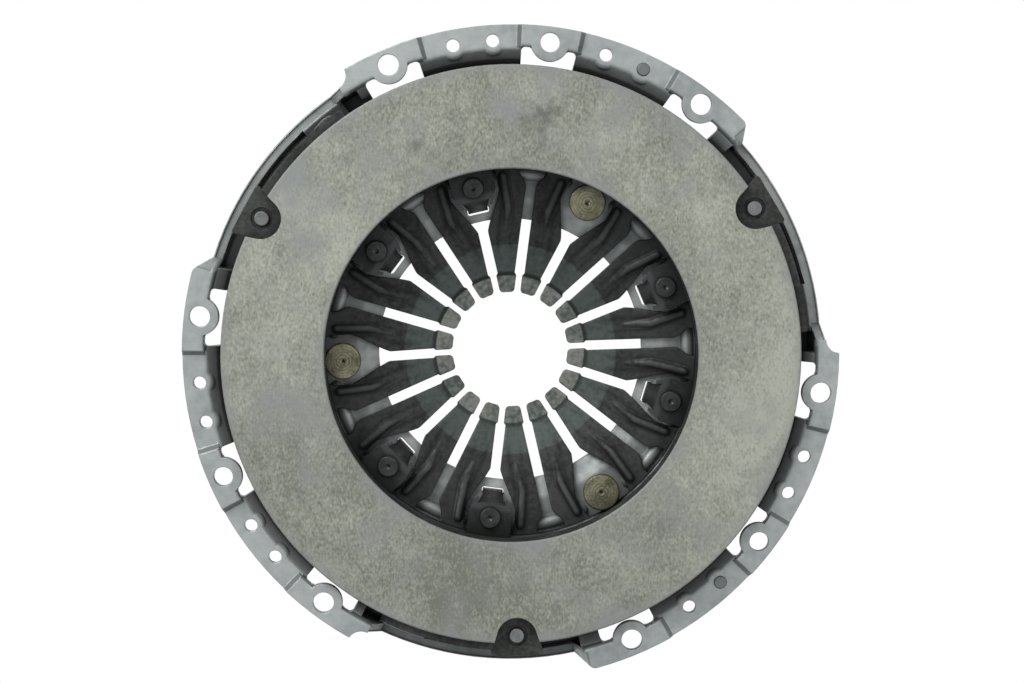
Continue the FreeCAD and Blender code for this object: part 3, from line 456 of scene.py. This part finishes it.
@dataclass(frozen=True)
class IronFinish(Finish):
    """Dark cast iron with a ground friction face that has a mottled, cross-hatched grain."""

    face_light: Colour = (0.33, 0.34, 0.285)
    face_dark: Colour = (0.14, 0.149, 0.122)
    face_grey: Colour = (0.205, 0.215, 0.21)
    smudge: Colour = (0.055, 0.06, 0.05)
    smudge_share: float = 0.4
    face_top: float = 7.0
    face_height: float = 6.4
    inner_r: float = 78.0
    outer_r: float = 121.0
    grain_scale: float = 1300.0
    speck_scale: float = 380.0
    blotch_scale: float = 75.0
    drift_scale: float = 13.0
    patch_scale: float = 48.0
    shares: tuple[float, ...] = (1.2, 0.5, 0.6, 0.95)
    level_span: Span = (1.34, 1.94)
    inward_share: float = 0.06
    painted_sheen_share: float = 0.07
    smudges: tuple[tuple[float, ...], ...] = ((9.5, 97.0, 9.0), (17.0, 101.5, 7.0), (-39.8, 87.1, 4.5),
                                              (-69.0, 63.6, 1.6))

    def level(self, graph: Paint, radius: Socket, angle: Socket) -> Socket:
        """Brightness of the ground face: grain, specks, blotches and drift, darker inwards, with painted
        sheen.
        """
        parts = (graph.effect(graph.effects.grain, Scale=self.grain_scale),
                 graph.effect(graph.effects.grain, Scale=self.speck_scale),
                 graph.effect(graph.effects.mottle, Scale=self.blotch_scale, Fine=1.1),
                 graph.noise(graph.place, self.drift_scale, 2.0))
        level = graph.plus(*(graph.times(part, share) for part, share in zip(parts, self.shares)))
        inward = graph.span(radius, 102.0, 84.0, 0.0, self.inward_share)
        # Painted reflection: a sheen across the face, brightest towards 0 and 180 degrees.
        sheen_wave = graph.math("COSINE", graph.times(angle, 2.0))
        return graph.math("MULTIPLY_ADD", sheen_wave, self.painted_sheen_share, graph.math("SUBTRACT", level, inward))

    def tint(self, graph: Paint, colour: Socket, tone: Socket) -> Socket:
        """Ground face over the cast colour, greyer along its edges, with a few smudges."""
        radius, angle, height = graph.about_axis()
        level = self.level(graph, radius, angle)
        ground = graph.mix(graph.span(level, *self.level_span), self.face_dark, self.face_light)
        rim = graph.plus(graph.span(radius, self.inner_r + 3.0, self.inner_r),
                         graph.span(radius, self.outer_r - 4.5, self.outer_r))
        patch = graph.span(graph.noise(graph.place, self.patch_scale, 3.0), 0.46, 0.72, 0.0, 0.8)
        grey = graph.math("ADD", graph.times(rim, 0.55), patch, clamp=True)
        ground = graph.mix(grey, ground, self.face_grey)
        for x, y, size in self.smudges:
            centre = (x * MM, y * MM, self.face_top * MM)
            mark = graph.effect(graph.effects.spot, Centre=centre, Size=size * MM)
            ground = graph.mix(graph.times(mark, self.smudge_share), ground, self.smudge)
        return graph.mix(graph.span(height, self.face_height, self.face_height + 0.1), colour, ground)


@dataclass(frozen=True)
class SpringFinish(Finish):
    """Dark phosphated spring steel with painted highlights on the rib tops, painted shade beside the ribs,
    a paler zone inside them and finger tips pale with wear.
    """

    # Rib tops are painted paler as a highlight.
    rib_highlight: Colour = (0.095, 0.105, 0.10)
    flat_zone: Colour = (0.058, 0.073, 0.068)
    tip_zone: Colour = (0.185, 0.19, 0.165)
    painted_shade_colour: Colour = (0.004, 0.0045, 0.004)
    bend_shade_colour: Colour = (0.008, 0.009, 0.008)
    tip_from: float = 32.4
    flat_to: float = 45.3

    def tint(self, graph: Paint, colour: Socket, tone: Socket) -> Socket:
        """Radial zones over the spring colour: painted shade beside the ribs and outwards, and painted
        highlights on the rib tops.
        """
        radius, angle, _ = graph.about_axis()
        rib, crease = (graph.add("Attribute", None, attribute_name=name).outputs["Fac"]
                       for name in ("rib", "crease"))
        uneven = graph.plus(radius, graph.span(tone, 0.0, 1.0, -0.4, 0.4))
        flat = graph.span(uneven, self.flat_to + 0.5, self.flat_to - 0.3)
        tip = graph.span(radius, self.tip_from, self.tip_from - 0.6)
        # Painted shade: a dark band over the bend past the tip pads, strongest towards +Y.
        bend = graph.times(graph.span(radius, self.tip_from - 0.7, self.tip_from - 0.1),
                           graph.span(radius, self.tip_from + 1.9, self.tip_from + 0.7),
                           graph.span(graph.math("SINE", angle), -0.9, 0.6, 0.6, 0.95))
        # Painted shade from 56 mm outwards and beside the ribs, and a painted highlight on the rib tops.
        layers = ((graph.times(flat, graph.span(tone, 0.0, 1.0, 0.6, 1.0)), self.flat_zone),
                  (graph.span(rib, 0.6, 1.0, 0.0, 0.45), self.rib_highlight),
                  (graph.span(radius, 56.0, 76.0, 0.0, 0.5), self.painted_shade_colour),
                  (graph.times(crease, 0.95), self.painted_shade_colour),
                  (graph.times(tip, 0.9), graph.mix(tone, self.flat_zone, self.tip_zone)),
                  (bend, self.bend_shade_colour))
        for share, over in layers:
            colour = graph.mix(share, colour, over)
        return colour


@dataclass(frozen=True)
class TurnedHeadFinish(Finish):
    """Plated rivet with fine rings turned into its head."""

    circle_r: float = 71.4
    first: float = math.radians(62.8)
    pitch: float = math.radians(120.0)
    ring_step: float = 1.25
    ring_zone: float = 4.6
    waver: float = 0.45
    centre_colour: Colour = (0.02, 0.02, 0.015)

    def tint(self, graph: Paint, colour: Socket, tone: Socket) -> Socket:
        """Rings about each rivet's own axis, clearest near the centre."""
        own = graph.effect(graph.effects.own_radius, Circle=self.circle_r, First=self.first,
                           Pitch=self.pitch)
        waver = graph.plus(own, graph.span(tone, 0.0, 1.0, -self.waver, self.waver))
        wave = graph.math("SINE", graph.times(waver, 2 * math.pi / self.ring_step))
        near = graph.span(own, self.ring_zone + 2.0, self.ring_zone - 2.0, 0.2, 0.95)
        lines = graph.times(graph.span(wave, 0.1, 0.95), near)
        colour = graph.mix(lines, colour, self.dark)
        return graph.mix(graph.span(own, 0.9, 0.5, 0.0, 0.8), colour, self.centre_colour)


FINISHES = (
    CoverFinish(Slot.COVER, light=(0.345, 0.37, 0.36), dark=(0.225, 0.245, 0.24), metallic=0.4,
                roughness=0.47, cloud_scale=30.0, edge_radius=0.7 * MM, edge_gain=0.12,
                corner_reach=26 * MM, corner_shade=0.95, corner_open=0.8),
    IronFinish(Slot.IRON, light=(0.045, 0.05, 0.045), dark=(0.018, 0.02, 0.0175), metallic=0.25,
               roughness=0.5, cloud_scale=60.0, fine=1.0, bump=0.35, bump_scale=1500.0, edge_gain=0.12,
               corner_shade=0.75, specular=0.3),
    SpringFinish(Slot.SPRING, light=(0.033, 0.035, 0.034), dark=(0.014, 0.015, 0.0145), metallic=0.3,
                 roughness=0.52, cloud_scale=55.0, fine=0.9, corner_reach=20 * MM, corner_open=0.9,
                 specular=0.3),
    Finish(Slot.WIRE, light=(0.05, 0.055, 0.055), dark=(0.02, 0.022, 0.022), roughness=0.35, specular=0.35),
    DarkRivetFinish(Slot.DARK_RIVET, light=(0.05, 0.055, 0.053), dark=(0.022, 0.025, 0.024), metallic=0.6,
                    roughness=0.38, cloud_scale=120.0, specular=0.4),
    ClipFinish(Slot.CLIP, light=(0.035, 0.038, 0.038), dark=(0.014, 0.016, 0.016), metallic=0.6,
               roughness=0.38, cloud_scale=90.0, specular=0.35),
    TurnedHeadFinish(Slot.YELLOW_RIVET, light=(0.28, 0.265, 0.175), dark=(0.08, 0.078, 0.048), metallic=0.7,
                     roughness=0.36, cloud_scale=110.0, edge_gain=0.05, corner_shade=0.85, specular=0.4),
    Finish(Slot.LUG_RIVET, light=(0.21, 0.222, 0.22), dark=(0.11, 0.118, 0.115), metallic=0.7,
           cloud_scale=150.0, corner_reach=6 * MM, corner_shade=0.5),
    Finish(Slot.STRAP, light=(0.08, 0.087, 0.087), dark=(0.035, 0.039, 0.04), roughness=0.35,
           cloud_scale=60.0, corner_reach=14 * MM),
)


# Meshes

def placed(name: str, data: bpy.types.ID) -> Piece:
    """New object of a mesh, light or camera, at the origin of the scene."""
    made = bpy.data.objects.new(name, data)
    bpy.context.scene.collection.objects.link(made)
    return made


def mesh_object(name: str, vertices: Array, faces: Iterable[Sequence[int]], smooth: bool = True) -> Piece:
    """Mesh object at the origin.

    Args:
        name: name of the object.
        vertices: points in millimetres, one row each.
        faces: vertex numbers of each face.
        smooth: whether the faces are shaded smooth.

    Returns:
        The new object, in metres.
    """
    mesh = bpy.data.meshes.new(name)
    mesh.from_pydata((np.asarray(vertices) * MM).tolist(), [], [tuple(face) for face in faces])
    mesh.polygons.foreach_set("use_smooth", [smooth] * len(mesh.polygons))
    mesh.update()
    return placed(name, mesh)


def mesh_points(mesh: bpy.types.Mesh) -> Array:
    """Points of a mesh in millimetres, one row each."""
    points = np.empty(3 * len(mesh.vertices))
    mesh.vertices.foreach_get("co", points)
    return points.reshape(-1, 3) / MM


def sheet_of(piece: Piece, sheet: float, rounding: float, weld: bool = False) -> None:
    """Turn a surface's faces up and give it a live thickness behind and rounded edges.

    Args:
        piece: object whose mesh is one open surface.
        sheet: thickness in millimetres.
        rounding: width of the rounded edges in millimetres.
        weld: whether points that touch are joined first.
    """
    shape = bmesh.new()
    shape.from_mesh(piece.data)
    if weld:
        bmesh.ops.remove_doubles(shape, verts=shape.verts, dist=0.02 * MM)
        bmesh.ops.recalc_face_normals(shape, faces=shape.faces)
    if sum(face.normal.z for face in shape.faces) < 0:
        bmesh.ops.reverse_faces(shape, faces=shape.faces)
    shape.to_mesh(piece.data)
    shape.free()
    thick = piece.modifiers.new("Thickness", "SOLIDIFY")
    thick.thickness = sheet * MM
    thick.offset = -1.0
    edges = piece.modifiers.new("Rounding", "BEVEL")
    edges.width = rounding * MM
    edges.segments = 2
    edges.limit_method = "ANGLE"
    edges.angle_limit = math.radians(50)


def on_circle(radius: Array | float, angle: Array) -> Array:
    """Plan points at a radius and at angles in radians."""
    return np.stack([radius * np.cos(angle), radius * np.sin(angle)], 1)


def soft_step(share: Array) -> Array:
    """Share from zero to one that starts and ends gently."""
    return share * share * (3 - 2 * share)


def turned_plan(points: Array, angle: float) -> Array:
    """Plan points turned about the axis by an angle in radians."""
    x, y = points.T
    cos, sin = math.cos(angle), math.sin(angle)
    return np.stack([x * cos - y * sin, x * sin + y * cos], 1)


def along_line(points: Array, first: Array, second: Array) -> tuple[Array, Array, float]:
    """How far plan points lie along a line and to its left, with the line's length."""
    ahead = second - first
    length = np.hypot(*ahead)
    ahead = ahead / length
    offset = points - first
    return offset @ ahead, offset @ np.array([-ahead[1], ahead[0]]), length


@dataclass
class DiaphragmSpring:
    """Conical disc of 18 fingers with straight slots and wide openings in turn.

    One half pitch, from the middle of a slot to the middle of an opening, is laid out flat, filled with
    points and raised to the cone. The mirrored copies are joined round the axis.
    """

    sheet: float = 2.6
    outer_r: float = 106.9
    tip_r: float = 24.6
    slope: float = math.tan(math.radians(14.5))
    ridge_r: float = 103.0
    ridge_z: float = -14.0
    pad_r: float = 32.5
    pad_slope: float = math.tan(math.radians(3.0))
    pad_blend: float = 1.6
    tip_slot: float = 2.6
    tip_corner: float = 1.8
    slot: float = 4.2
    trumpet_start_r: float = 70.0
    trumpet_end_r: float = 80.5
    trumpet_width: float = 12.2
    trumpet_corner: float = 2.2
    opening_start_r: float = 51.5
    opening_flank_r: float = 68.0
    opening_end_r: float = 81.5
    opening_width: float = 21.4
    opening_corner: float = 6.5
    fingers: int = 18
    first_angle: float = 82.8
    point_step: float = 1.3
    edge_step: float = 0.7
    fulcrum_z: float = -21.5
    flattened: float = 0.09
    rib_line: tuple[Span, ...] = ((46.5, 8.3), (60.5, 8.5), (74.5, 12.7))
    rib_r: float = 2.4
    rib_height: float = 1.1
    rib_end: float = 1.8
    rounding: float = 0.35
    pad_step: Span = (-0.5, 0.4)
    trumpet_even: float = 3.0
    opening_even: float = 0.75
    row_share: float = 0.87
    clear_share: float = 0.55

    def cone(self, radius: Array) -> Array:
        """Height of the front surface: the cone, turned flatter at the tip pads."""
        cone = self.ridge_z - (self.ridge_r - radius) * self.slope
        pad = self.ridge_z - (self.ridge_r - self.pad_r) * self.slope
        pad = pad + (radius - self.pad_r) * self.pad_slope
        soft = 0.05 * self.pad_blend
        gap = pad - cone
        lift = 0.5 * math.sqrt(soft) * np.exp(-np.abs(radius - self.pad_r) / 4)
        return cone + 0.5 * (gap + np.sqrt(gap * gap + soft)) - lift

    def narrow_half(self, radius: Array) -> Array:
        """Half width of any gap near the tips: rounded tip corners, then the step up past the pads."""
        step = [self.pad_r + past for past in self.pad_step]
        width = np.interp(radius, step, (self.tip_slot / 2, self.slot / 2))
        corner = np.clip((self.tip_r + self.tip_corner - radius) / self.tip_corner, 0, 1)
        return width + self.tip_corner * (1 - np.sqrt(1 - corner * corner))

    def narrow_rows(self, end: float) -> Array:
        """Radii of the outline from the tip to the start of an end corner."""
        corner = self.tip_r + self.tip_corner * (1 - np.cos(np.linspace(0, math.pi / 2, 6)))
        rest = np.arange(self.tip_r + self.tip_corner, end, self.edge_step)[1:]
        return np.unique(np.concatenate([corner, rest, [self.pad_r + past for past in self.pad_step]]))

    def drawn_in(self, radius: Array, end: float, corner: float) -> Array:
        """How far the side of a gap draws in over the round corner at its outer end."""
        share = np.clip((radius - (end - corner)) / corner, 0, 1)
        return corner * (1 - np.sqrt(np.clip(1 - share * share, 0, 1)))

    def slot_half(self, radius: Array) -> Array:
        """Half width of the straight slot with its trumpet end."""
        reach = self.trumpet_end_r - self.trumpet_even - self.trumpet_start_r
        flare = np.clip((radius - self.trumpet_start_r) / reach, 0, 1)
        width = self.narrow_half(radius) + soft_step(flare) * (self.trumpet_width / 2 - self.slot / 2)
        return width - self.drawn_in(radius, self.trumpet_end_r, self.trumpet_corner)

    def opening_half(self, radius: Array) -> Array:
        """Half width of the wide opening."""
        reach = self.opening_flank_r - self.opening_start_r
        flare = np.clip((radius - self.opening_start_r) / reach, 0, 1)
        soft = self.opening_even * flare + (1 - self.opening_even) * soft_step(flare)
        width = self.narrow_half(radius) + soft * (self.opening_width / 2 - self.slot / 2)
        return width - self.drawn_in(radius, self.opening_end_r, self.opening_corner)

    def flank(self, half: Callable[[Array], Array], end: float, corner: float, lead: float, steps: int
              ) -> Array:
        """Side of a gap, its end and the middle line on to the spring's rim.

        Args:
            half: half width of the gap by radius.
            end: radius of the gap's outer end.
            corner: radius of its end corners.
            lead: how far before the end the even rows stop.
            steps: number of rows round a corner.

        Returns:
            Plan points with the gap's middle along angle 0.
        """
        radii = np.concatenate([self.narrow_rows(end - lead),
                                end - corner * (1 - np.sin(np.linspace(0, math.pi / 2, steps)))])
        side = np.stack([radii, half(radii)], 1)
        closed = np.stack([np.full(5, end), np.linspace(side[-1, 1], 0, 6)[1:]], 1)
        ring = np.arange(end, self.outer_r, self.point_step)[1:]
        return np.concatenate([side, closed, np.stack([ring, np.zeros_like(ring)], 1)])

    def outline(self) -> Array:
        """Outline of half a pitch, with the slot along angle 0 and the opening along the half pitch."""
        pitch = math.radians(360 / self.fingers)
        slot = self.flank(self.slot_half, self.trumpet_end_r, self.trumpet_corner, lead=2.3, steps=7)
        opening = self.flank(self.opening_half, self.opening_end_r, self.opening_corner, lead=6.6, steps=12)
        opening = turned_plan(opening * (1, -1), pitch)
        rim = on_circle(self.outer_r, np.linspace(0, pitch, 26))
        tip_angles = np.linspace(math.atan2(*opening[0][::-1]), math.atan2(*slot[0][::-1]), 8)[1:-1]
        return np.concatenate([slot, rim[:-1], opening[::-1], on_circle(np.hypot(*slot[0]), tip_angles)])

    def inner_points(self, loop: Array) -> Array:
        """Points in rows inside the outline, clear of it by half a step."""
        pitch = math.radians(360 / self.fingers)
        rows = []
        radii = np.arange(self.tip_r + 0.7, self.outer_r - 0.5, self.point_step * self.row_share)
        for i, radius in enumerate(radii):
            count = max(3, int(radius * pitch / self.point_step))
            rows.append(on_circle(radius, (np.arange(count) + 0.5 * (i % 2) + 0.25) * pitch / count))
        points = np.concatenate(rows)
        rib = self.rib_rows()
        fixed = np.concatenate([loop, rib])
        near = np.min(np.hypot(*(points[:, None] - fixed[None]).transpose(2, 0, 1)), 1)
        clear = near > self.clear_share * self.point_step
        return np.concatenate([rib, points[clear & self.inside(points)]])

    def rib_rows(self) -> Array:
        """Rows of points along the rib: over its top, down its flanks and along its foot."""
        line = np.array(self.rib_line)
        ahead = line[2] - line[1]
        line[2] = line[2] + ahead / np.hypot(*ahead) * self.rib_end * 0.8
        reach = np.concatenate([[0], np.cumsum(np.hypot(*np.diff(line, axis=0).T))])
        run = np.arange(2.5, reach[-1], 1.0)
        middle = np.stack([np.interp(run, reach, line[:, i]) for i in (0, 1)], 1)
        along = np.gradient(middle, axis=0)
        along /= np.hypot(*along.T)[:, None]
        aside = np.stack([-along[:, 1], along[:, 0]], 1)
        size = np.interp(run, (0, reach[1]), (self.rib_r - self.rib_height, self.rib_r))
        past = np.clip(run - (reach[-1] - 0.8 * self.rib_end), 0, None) / self.rib_end
        size = size - self.rib_height * past
        half = np.sqrt(size ** 2 - (self.rib_r - self.rib_height) ** 2)[:, None]
        shares = (-1.7, -1.3, -1.0, -0.82, -0.5, 0.0, 0.5, 0.82, 1.0, 1.3, 1.7)
        return np.concatenate([middle + aside * half * share for share in shares])

    def inside(self, points: Array) -> Array:
        """Whether plan points lie on the metal of the half pitch."""
        pitch = math.radians(360 / self.fingers)
        along, side = points.T
        along_open = along * math.cos(pitch) + side * math.sin(pitch)
        side_open = along * math.sin(pitch) - side * math.cos(pitch)
        past_slot = np.where(along < self.trumpet_end_r, self.slot_half(along), 0)
        past_open = np.where(along_open < self.opening_end_r, self.opening_half(along_open), 0)
        return (side > past_slot) & (side_open > past_open)

    def ribs(self, plan: Array) -> Array:
        """Height of the pressed rib over the cone: a round bar that tapers in and ends in a short cone."""
        depth = self.rib_r - self.rib_height
        line = np.array(self.rib_line)
        height = np.full(len(plan), -depth)
        for i, size in ((0, depth), (1, self.rib_r)):
            run, side, length = along_line(plan, line[i], line[i + 1])
            radius = size + (self.rib_r - size) * np.clip(run / length, 0, 1)
            ending = self.rib_r - self.rib_height * (run - length) / self.rib_end
            radius = np.where(run > length, ending, radius)
            bar = np.sqrt(np.clip(radius ** 2 - side ** 2, 0, None)) - depth
            height = np.maximum(height, np.where((run > 0) & (radius > depth), bar, -depth))
        soft = 0.06
        return 0.5 * (height + np.sqrt(height * height + soft * soft)) - 0.5 * soft * soft / depth

    def creases(self, plan: Array) -> Array:
        """Shade beside the rib: a dark line along each foot, wider by the opening and fading inwards."""
        line = np.array(((38.0, 7.0), *self.rib_line))
        shade = np.zeros(len(plan))
        half = 0.8 * self.rib_r
        for first, second, low, high in zip(line[:-1], line[1:], (0.0, 0.7, 1.0), (0.7, 1.0, 1.0)):
            run, side, length = along_line(plan, first, second)
            run = run / length
            strength = np.interp(run, (0, 1), (low, high)) * ((run > -0.01) & (run < 1.12))
            outward = np.clip(1 - np.abs(side - 1.45 * half) / (0.75 * half), 0, 1)
            inward = 0.75 * np.clip(1 - np.abs(side + 1.3 * half) / (0.45 * half), 0, 1)
            shade = np.maximum(shade, strength * np.maximum(outward, inward))
        return np.clip(1.4 * shade, 0, 1)

    def folded(self, points: Array) -> Array:
        """Plan points brought back into the first half pitch."""
        x, y = points.T
        turn = 4 * math.pi / self.fingers
        angle = np.arctan2(y, x) - math.radians(self.first_angle)
        angle = np.abs((angle + turn / 2) % turn - turn / 2)
        return on_circle(np.hypot(x, y), angle)

    def build(self) -> Piece:
        """Mesh of the whole spring, as its front surface with a live thickness."""
        loop = self.outline()
        points = np.concatenate([loop, self.inner_points(loop)])
        count = len(loop)
        edges = [(i, (i + 1) % count) for i in range(count)]
        flat, _, triangles, *_ = delaunay_2d_cdt([Vector(point) for point in points], edges,
                                                 [list(range(count))], 1, 1e-6)
        plan = np.array([tuple(p) for p in flat])
        triangles = np.array(triangles)
        centres = plan[triangles].mean(1)
        triangles = triangles[self.inside(centres)]
        height = self.cone(np.hypot(*plan.T)) + self.ribs(plan)
        vertices = []
        faces = []
        base = math.radians(self.first_angle)
        for i in range(self.fingers // 2):
            for flip in (1, -1):
                start = len(vertices) * len(plan)
                copy = turned_plan(plan * (1, flip), base + i * 4 * math.pi / self.fingers)
                vertices.append(np.column_stack([copy, height]))
                faces.append((triangles if flip > 0 else triangles[:, ::-1]) + start)
        spring = mesh_object("diaphragm_spring_dressed", np.concatenate(vertices), np.concatenate(faces))
        sheet_of(spring, self.sheet, self.rounding, weld=True)
        half = self.folded(mesh_points(spring.data)[:, :2])
        for name, values in (("rib", self.ribs(half) / self.rib_height), ("crease", self.creases(half))):
            spring.data.attributes.new(name, "FLOAT", "POINT").data.foreach_set("value", values)
        return spring

    def dress(self, finishes: Materials) -> Piece:
        """Spring in place of its CAD node."""
        spring = self.build()
        spring.data.materials.append(finishes[Slot.SPRING])
        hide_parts("diaphragm_spring")
        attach(spring, Body.COVER.value)
        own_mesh(spring)
        return spring


@dataclass
class StrapPack:
    """Three spring leaves from a lug of the plate to a seat on the cover."""

    letter: str
    turn: float
    width: float = 15.0
    sheet: float = 0.9
    gap: float = 0.02
    lug_r: float = 118.6
    seat_r: float = 119.0
    lug_angle: float = 151.05
    seat_sweep: float = 22.6
    lug_top: float = -7.0
    seat_top: float = -12.0
    straight: float = 9.5
    rounding: float = 0.12
    leaves: int = 3
    rows: int = 40
    columns: int = 8

    def line(self) -> tuple[Array, Array, Array, float]:
        """Plan points of the lug's and the seat's rivet, with the way and the distance between them."""
        degrees = self.turn + self.lug_angle - np.array([0.0, self.seat_sweep])
        lug, seat = on_circle(np.array([self.lug_r, self.seat_r]), np.radians(degrees))
        run = float(np.hypot(*(seat - lug)))
        return lug, seat, (seat - lug) / run, run

    def surface(self, level: int) -> tuple[Array, list[tuple[int, int, int, int]]]:
        """Top surface of a leaf on a grid, with round ends and an S bend between the rivets.

        Args:
            level: number of the leaf, from the top.

        Returns:
            The points and the quads.
        """
        lug, _, ahead, run = self.line()
        aside = np.array([-ahead[1], ahead[0]])
        half = self.width / 2
        u = np.linspace(-half * 0.999, run + half * 0.999, self.rows)
        past = np.maximum(np.maximum(-u, u - run), 0)
        reach = np.sqrt(np.clip(half * half - past * past, 0, None))
        v = np.linspace(-1, 1, self.columns)
        share = np.clip((u - self.straight) / (run - 2 * self.straight), 0, 1)
        height = self.lug_top + (self.seat_top - self.lug_top) * soft_step(share)
        height = height - level * (self.sheet + self.gap)
        plan = lug + u[:, None, None] * ahead + (reach[:, None] * v)[..., None] * aside
        points = np.concatenate([plan, np.repeat(height[:, None, None], self.columns, 1)], 2).reshape(-1, 3)
        quads = [(first, first + self.columns, first + self.columns + 1, first + 1)
                 for row in range(self.rows - 1)
                 for first in range(row * self.columns, (row + 1) * self.columns - 1)]
        return points, quads

    def dress(self, finishes: Materials) -> list[Piece]:
        """Leaves in place of their CAD nodes, bending between the lug and the seat."""
        made = []
        for level in range(self.leaves):
            points, quads = self.surface(level)
            leaf = mesh_object(f"strap_{self.letter}_leaf_{level + 1}_dressed", points, quads)
            sheet_of(leaf, self.sheet, self.rounding)
            leaf.data.materials.append(finishes[Slot.STRAP])
            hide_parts(f"strap_{self.letter}_leaf_{level + 1}")
            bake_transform(leaf)
            made.append(leaf)
        return made


@dataclass
class LowRim:
    """The cover, whose free rim bands lie well below the bolt pads.

    The band of the solids stands higher. It is set down here, and no other stretch of the cover moves.
    """

    gap_angle: float = 22.8
    gap_start: float = -19.0
    gap_end: float = 20.2
    inner_r: float = 126.8
    above: float = -8.0
    drop: float = 15.0

    def band(self, points: Array) -> Array:
        """Which points, in millimetres, belong to a free rim band."""
        x, y, z = points.T
        turned = np.degrees(np.arctan2(y, x)) - self.gap_angle
        aside = (turned + 60.0) % 120.0 - 60.0
        between = (aside > self.gap_start) & (aside < self.gap_end)
        return between & (np.hypot(x, y) > self.inner_r) & (z > self.above)

    def dress(self, finishes: Materials) -> Piece:
        """Cover in place of its CAD node."""
        node = frame["nodes"]["cover"]
        mesh = node.data.copy()
        mesh.transform(node.matrix_world)
        points = mesh_points(mesh)
        points[self.band(points), 2] -= self.drop
        mesh.vertices.foreach_set("co", (points * MM).ravel())
        mesh.update()
        cover = placed("cover_dressed", mesh)
        mesh.materials.clear()
        mesh.materials.append(finishes[Slot.COVER])
        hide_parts("cover")
        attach(cover, Body.COVER.value)
        return cover


def dress_cad_nodes(finishes: Materials) -> int:
    """Give every visible node that keeps its CAD shape the finish of its slot, and count them."""
    rows = [row for row in frame["record"]["subparts"] if not frame["nodes"][row["node"]].hide_render]
    for row in rows:
        materials = frame["nodes"][row["node"]].data.materials
        materials.clear()
        materials.append(finishes[Slot(row["material_slot"])])
    return len(rows)


# Stage, light and view

@dataclass
class Studio:
    """White stage with soft light, and the photograph's view from nearly straight above."""

    floor_z: float = -150.0
    floor_half: float = 3000.0
    camera_place: tuple[float, float, float] = (-15.1, 77.6, 1007.0)
    camera_turn: tuple[float, float, float] = (-4.085, -0.877, -0.16)
    lens: float = 84.74
    resolution: tuple[int, int] = (1024, 683)
    dome_span: Span = (-0.1, 0.9)
    dome_light: Span = (0.33, 0.84)
    lamps: tuple[tuple, ...] = (("Key", (-0.6, 0.75, 0.8), 0.8, 14.0), ("Fill", (0.8, 0.1, 0.7), 0.9, 2.0))

    def floor(self) -> None:
        """Pale floor that the camera sees as plain white, and that is clear from below."""
        corners = [(x * self.floor_half, y * self.floor_half, self.floor_z)
                   for x, y in ((-1, -1), (1, -1), (1, 1), (-1, 1))]
        floor = mesh_object("stage_floor", corners, [(0, 1, 2, 3)], smooth=False)
        material = bpy.data.materials.new("Stage white")
        material.use_nodes = True
        graph = Graph(material.node_tree)
        seen = graph.add("LightPath").outputs["Is Camera Ray"]
        matte = graph.add("BsdfDiffuse", {"Color": (0.82, 0.82, 0.82, 1.0)})
        white = graph.add("Emission", {"Color": WHITE, "Strength": 1.0})
        mixed = graph.add("MixShader", {0: seen, 1: matte.outputs[0], 2: white.outputs[0]})
        under = graph.add("NewGeometry").outputs["Backfacing"]
        clear = graph.add("BsdfTransparent")
        sided = graph.add("MixShader", {0: under, 1: mixed.outputs[0], 2: clear.outputs[0]})
        graph.add("OutputMaterial", {0: sided.outputs[0]})
        floor.data.materials.append(material)

    def world(self) -> None:
        """Soft studio dome: bright overhead, greyer towards the horizon, white to the camera."""
        world = bpy.data.worlds.new("Studio")
        bpy.context.scene.world = world
        world.use_nodes = True
        graph = Graph(world.node_tree)
        place = graph.add("TexCoord").outputs["Generated"]
        up = graph.add("SeparateXYZ", {0: place}).outputs[2]
        dome = graph.span(up, *self.dome_span, *self.dome_light)
        seen = graph.add("LightPath").outputs["Is Camera Ray"]
        white = graph.add("Background", {"Color": WHITE, "Strength": 1.0})
        lit = graph.add("Background", {"Color": (0.97, 0.985, 1.0, 1.0), "Strength": dome})
        mixed = graph.add("MixShader", {0: seen, 1: lit.outputs[0], 2: white.outputs[0]})
        graph.add("OutputWorld", {0: mixed.outputs[0]})

    def lamp(self, name: str, place: Sequence[float], size: float, power: float) -> None:
        """Square soft light aimed at the object.

        Args:
            name: name of the light.
            place: position in metres.
            size: side in metres.
            power: watts.
        """
        light = bpy.data.lights.new(name, "AREA")
        light.size = size
        light.energy = power
        made = placed(name, light)
        made.location = place
        made.rotation_euler = Vector(place).to_track_quat("Z", "Y").to_euler()

    def camera(self) -> None:
        """Camera above the friction face, a little towards +Y, aimed at the middle."""
        data = bpy.data.cameras.new("Photo view")
        data.lens = self.lens
        data.sensor_width = 36.0
        data.clip_start = 0.01
        camera = placed("Photo view", data)
        camera.location = Vector(self.camera_place) * MM
        camera.rotation_mode = "ZYX"
        camera.rotation_euler = [math.radians(angle) for angle in self.camera_turn]
        bpy.context.scene.camera = camera

    def build(self) -> None:
        """Set up the whole stage."""
        self.floor()
        self.world()
        for lamp in self.lamps:
            self.lamp(*lamp)
        self.camera()
        scene = bpy.context.scene
        scene.view_settings.view_transform = "Standard"
        scene.view_settings.look = "None"
        scene.render.resolution_x, scene.render.resolution_y = self.resolution


def main() -> None:
    """Dress the frame, piece by piece."""
    logging.basicConfig(level=logging.INFO, format="%(name)s: %(message)s")
    effects = Effects()
    finishes = {finish.slot: finish.make(effects) for finish in FINISHES}
    spring = DiaphragmSpring().dress(finishes)
    LOG.info("%s: %d points", spring.name, len(spring.data.vertices))
    for i, letter in enumerate("abc"):
        leaves = StrapPack(letter, turn=i * 120.0).dress(finishes)
        LOG.info("strap pack %s: %d leaves", letter, len(leaves))
    cover = LowRim().dress(finishes)
    LOG.info("%s: %d points", cover.name, len(cover.data.vertices))
    LOG.info("CAD nodes dressed: %d", dress_cad_nodes(finishes))
    Studio().build()


if __name__ == "__main__":
    main()
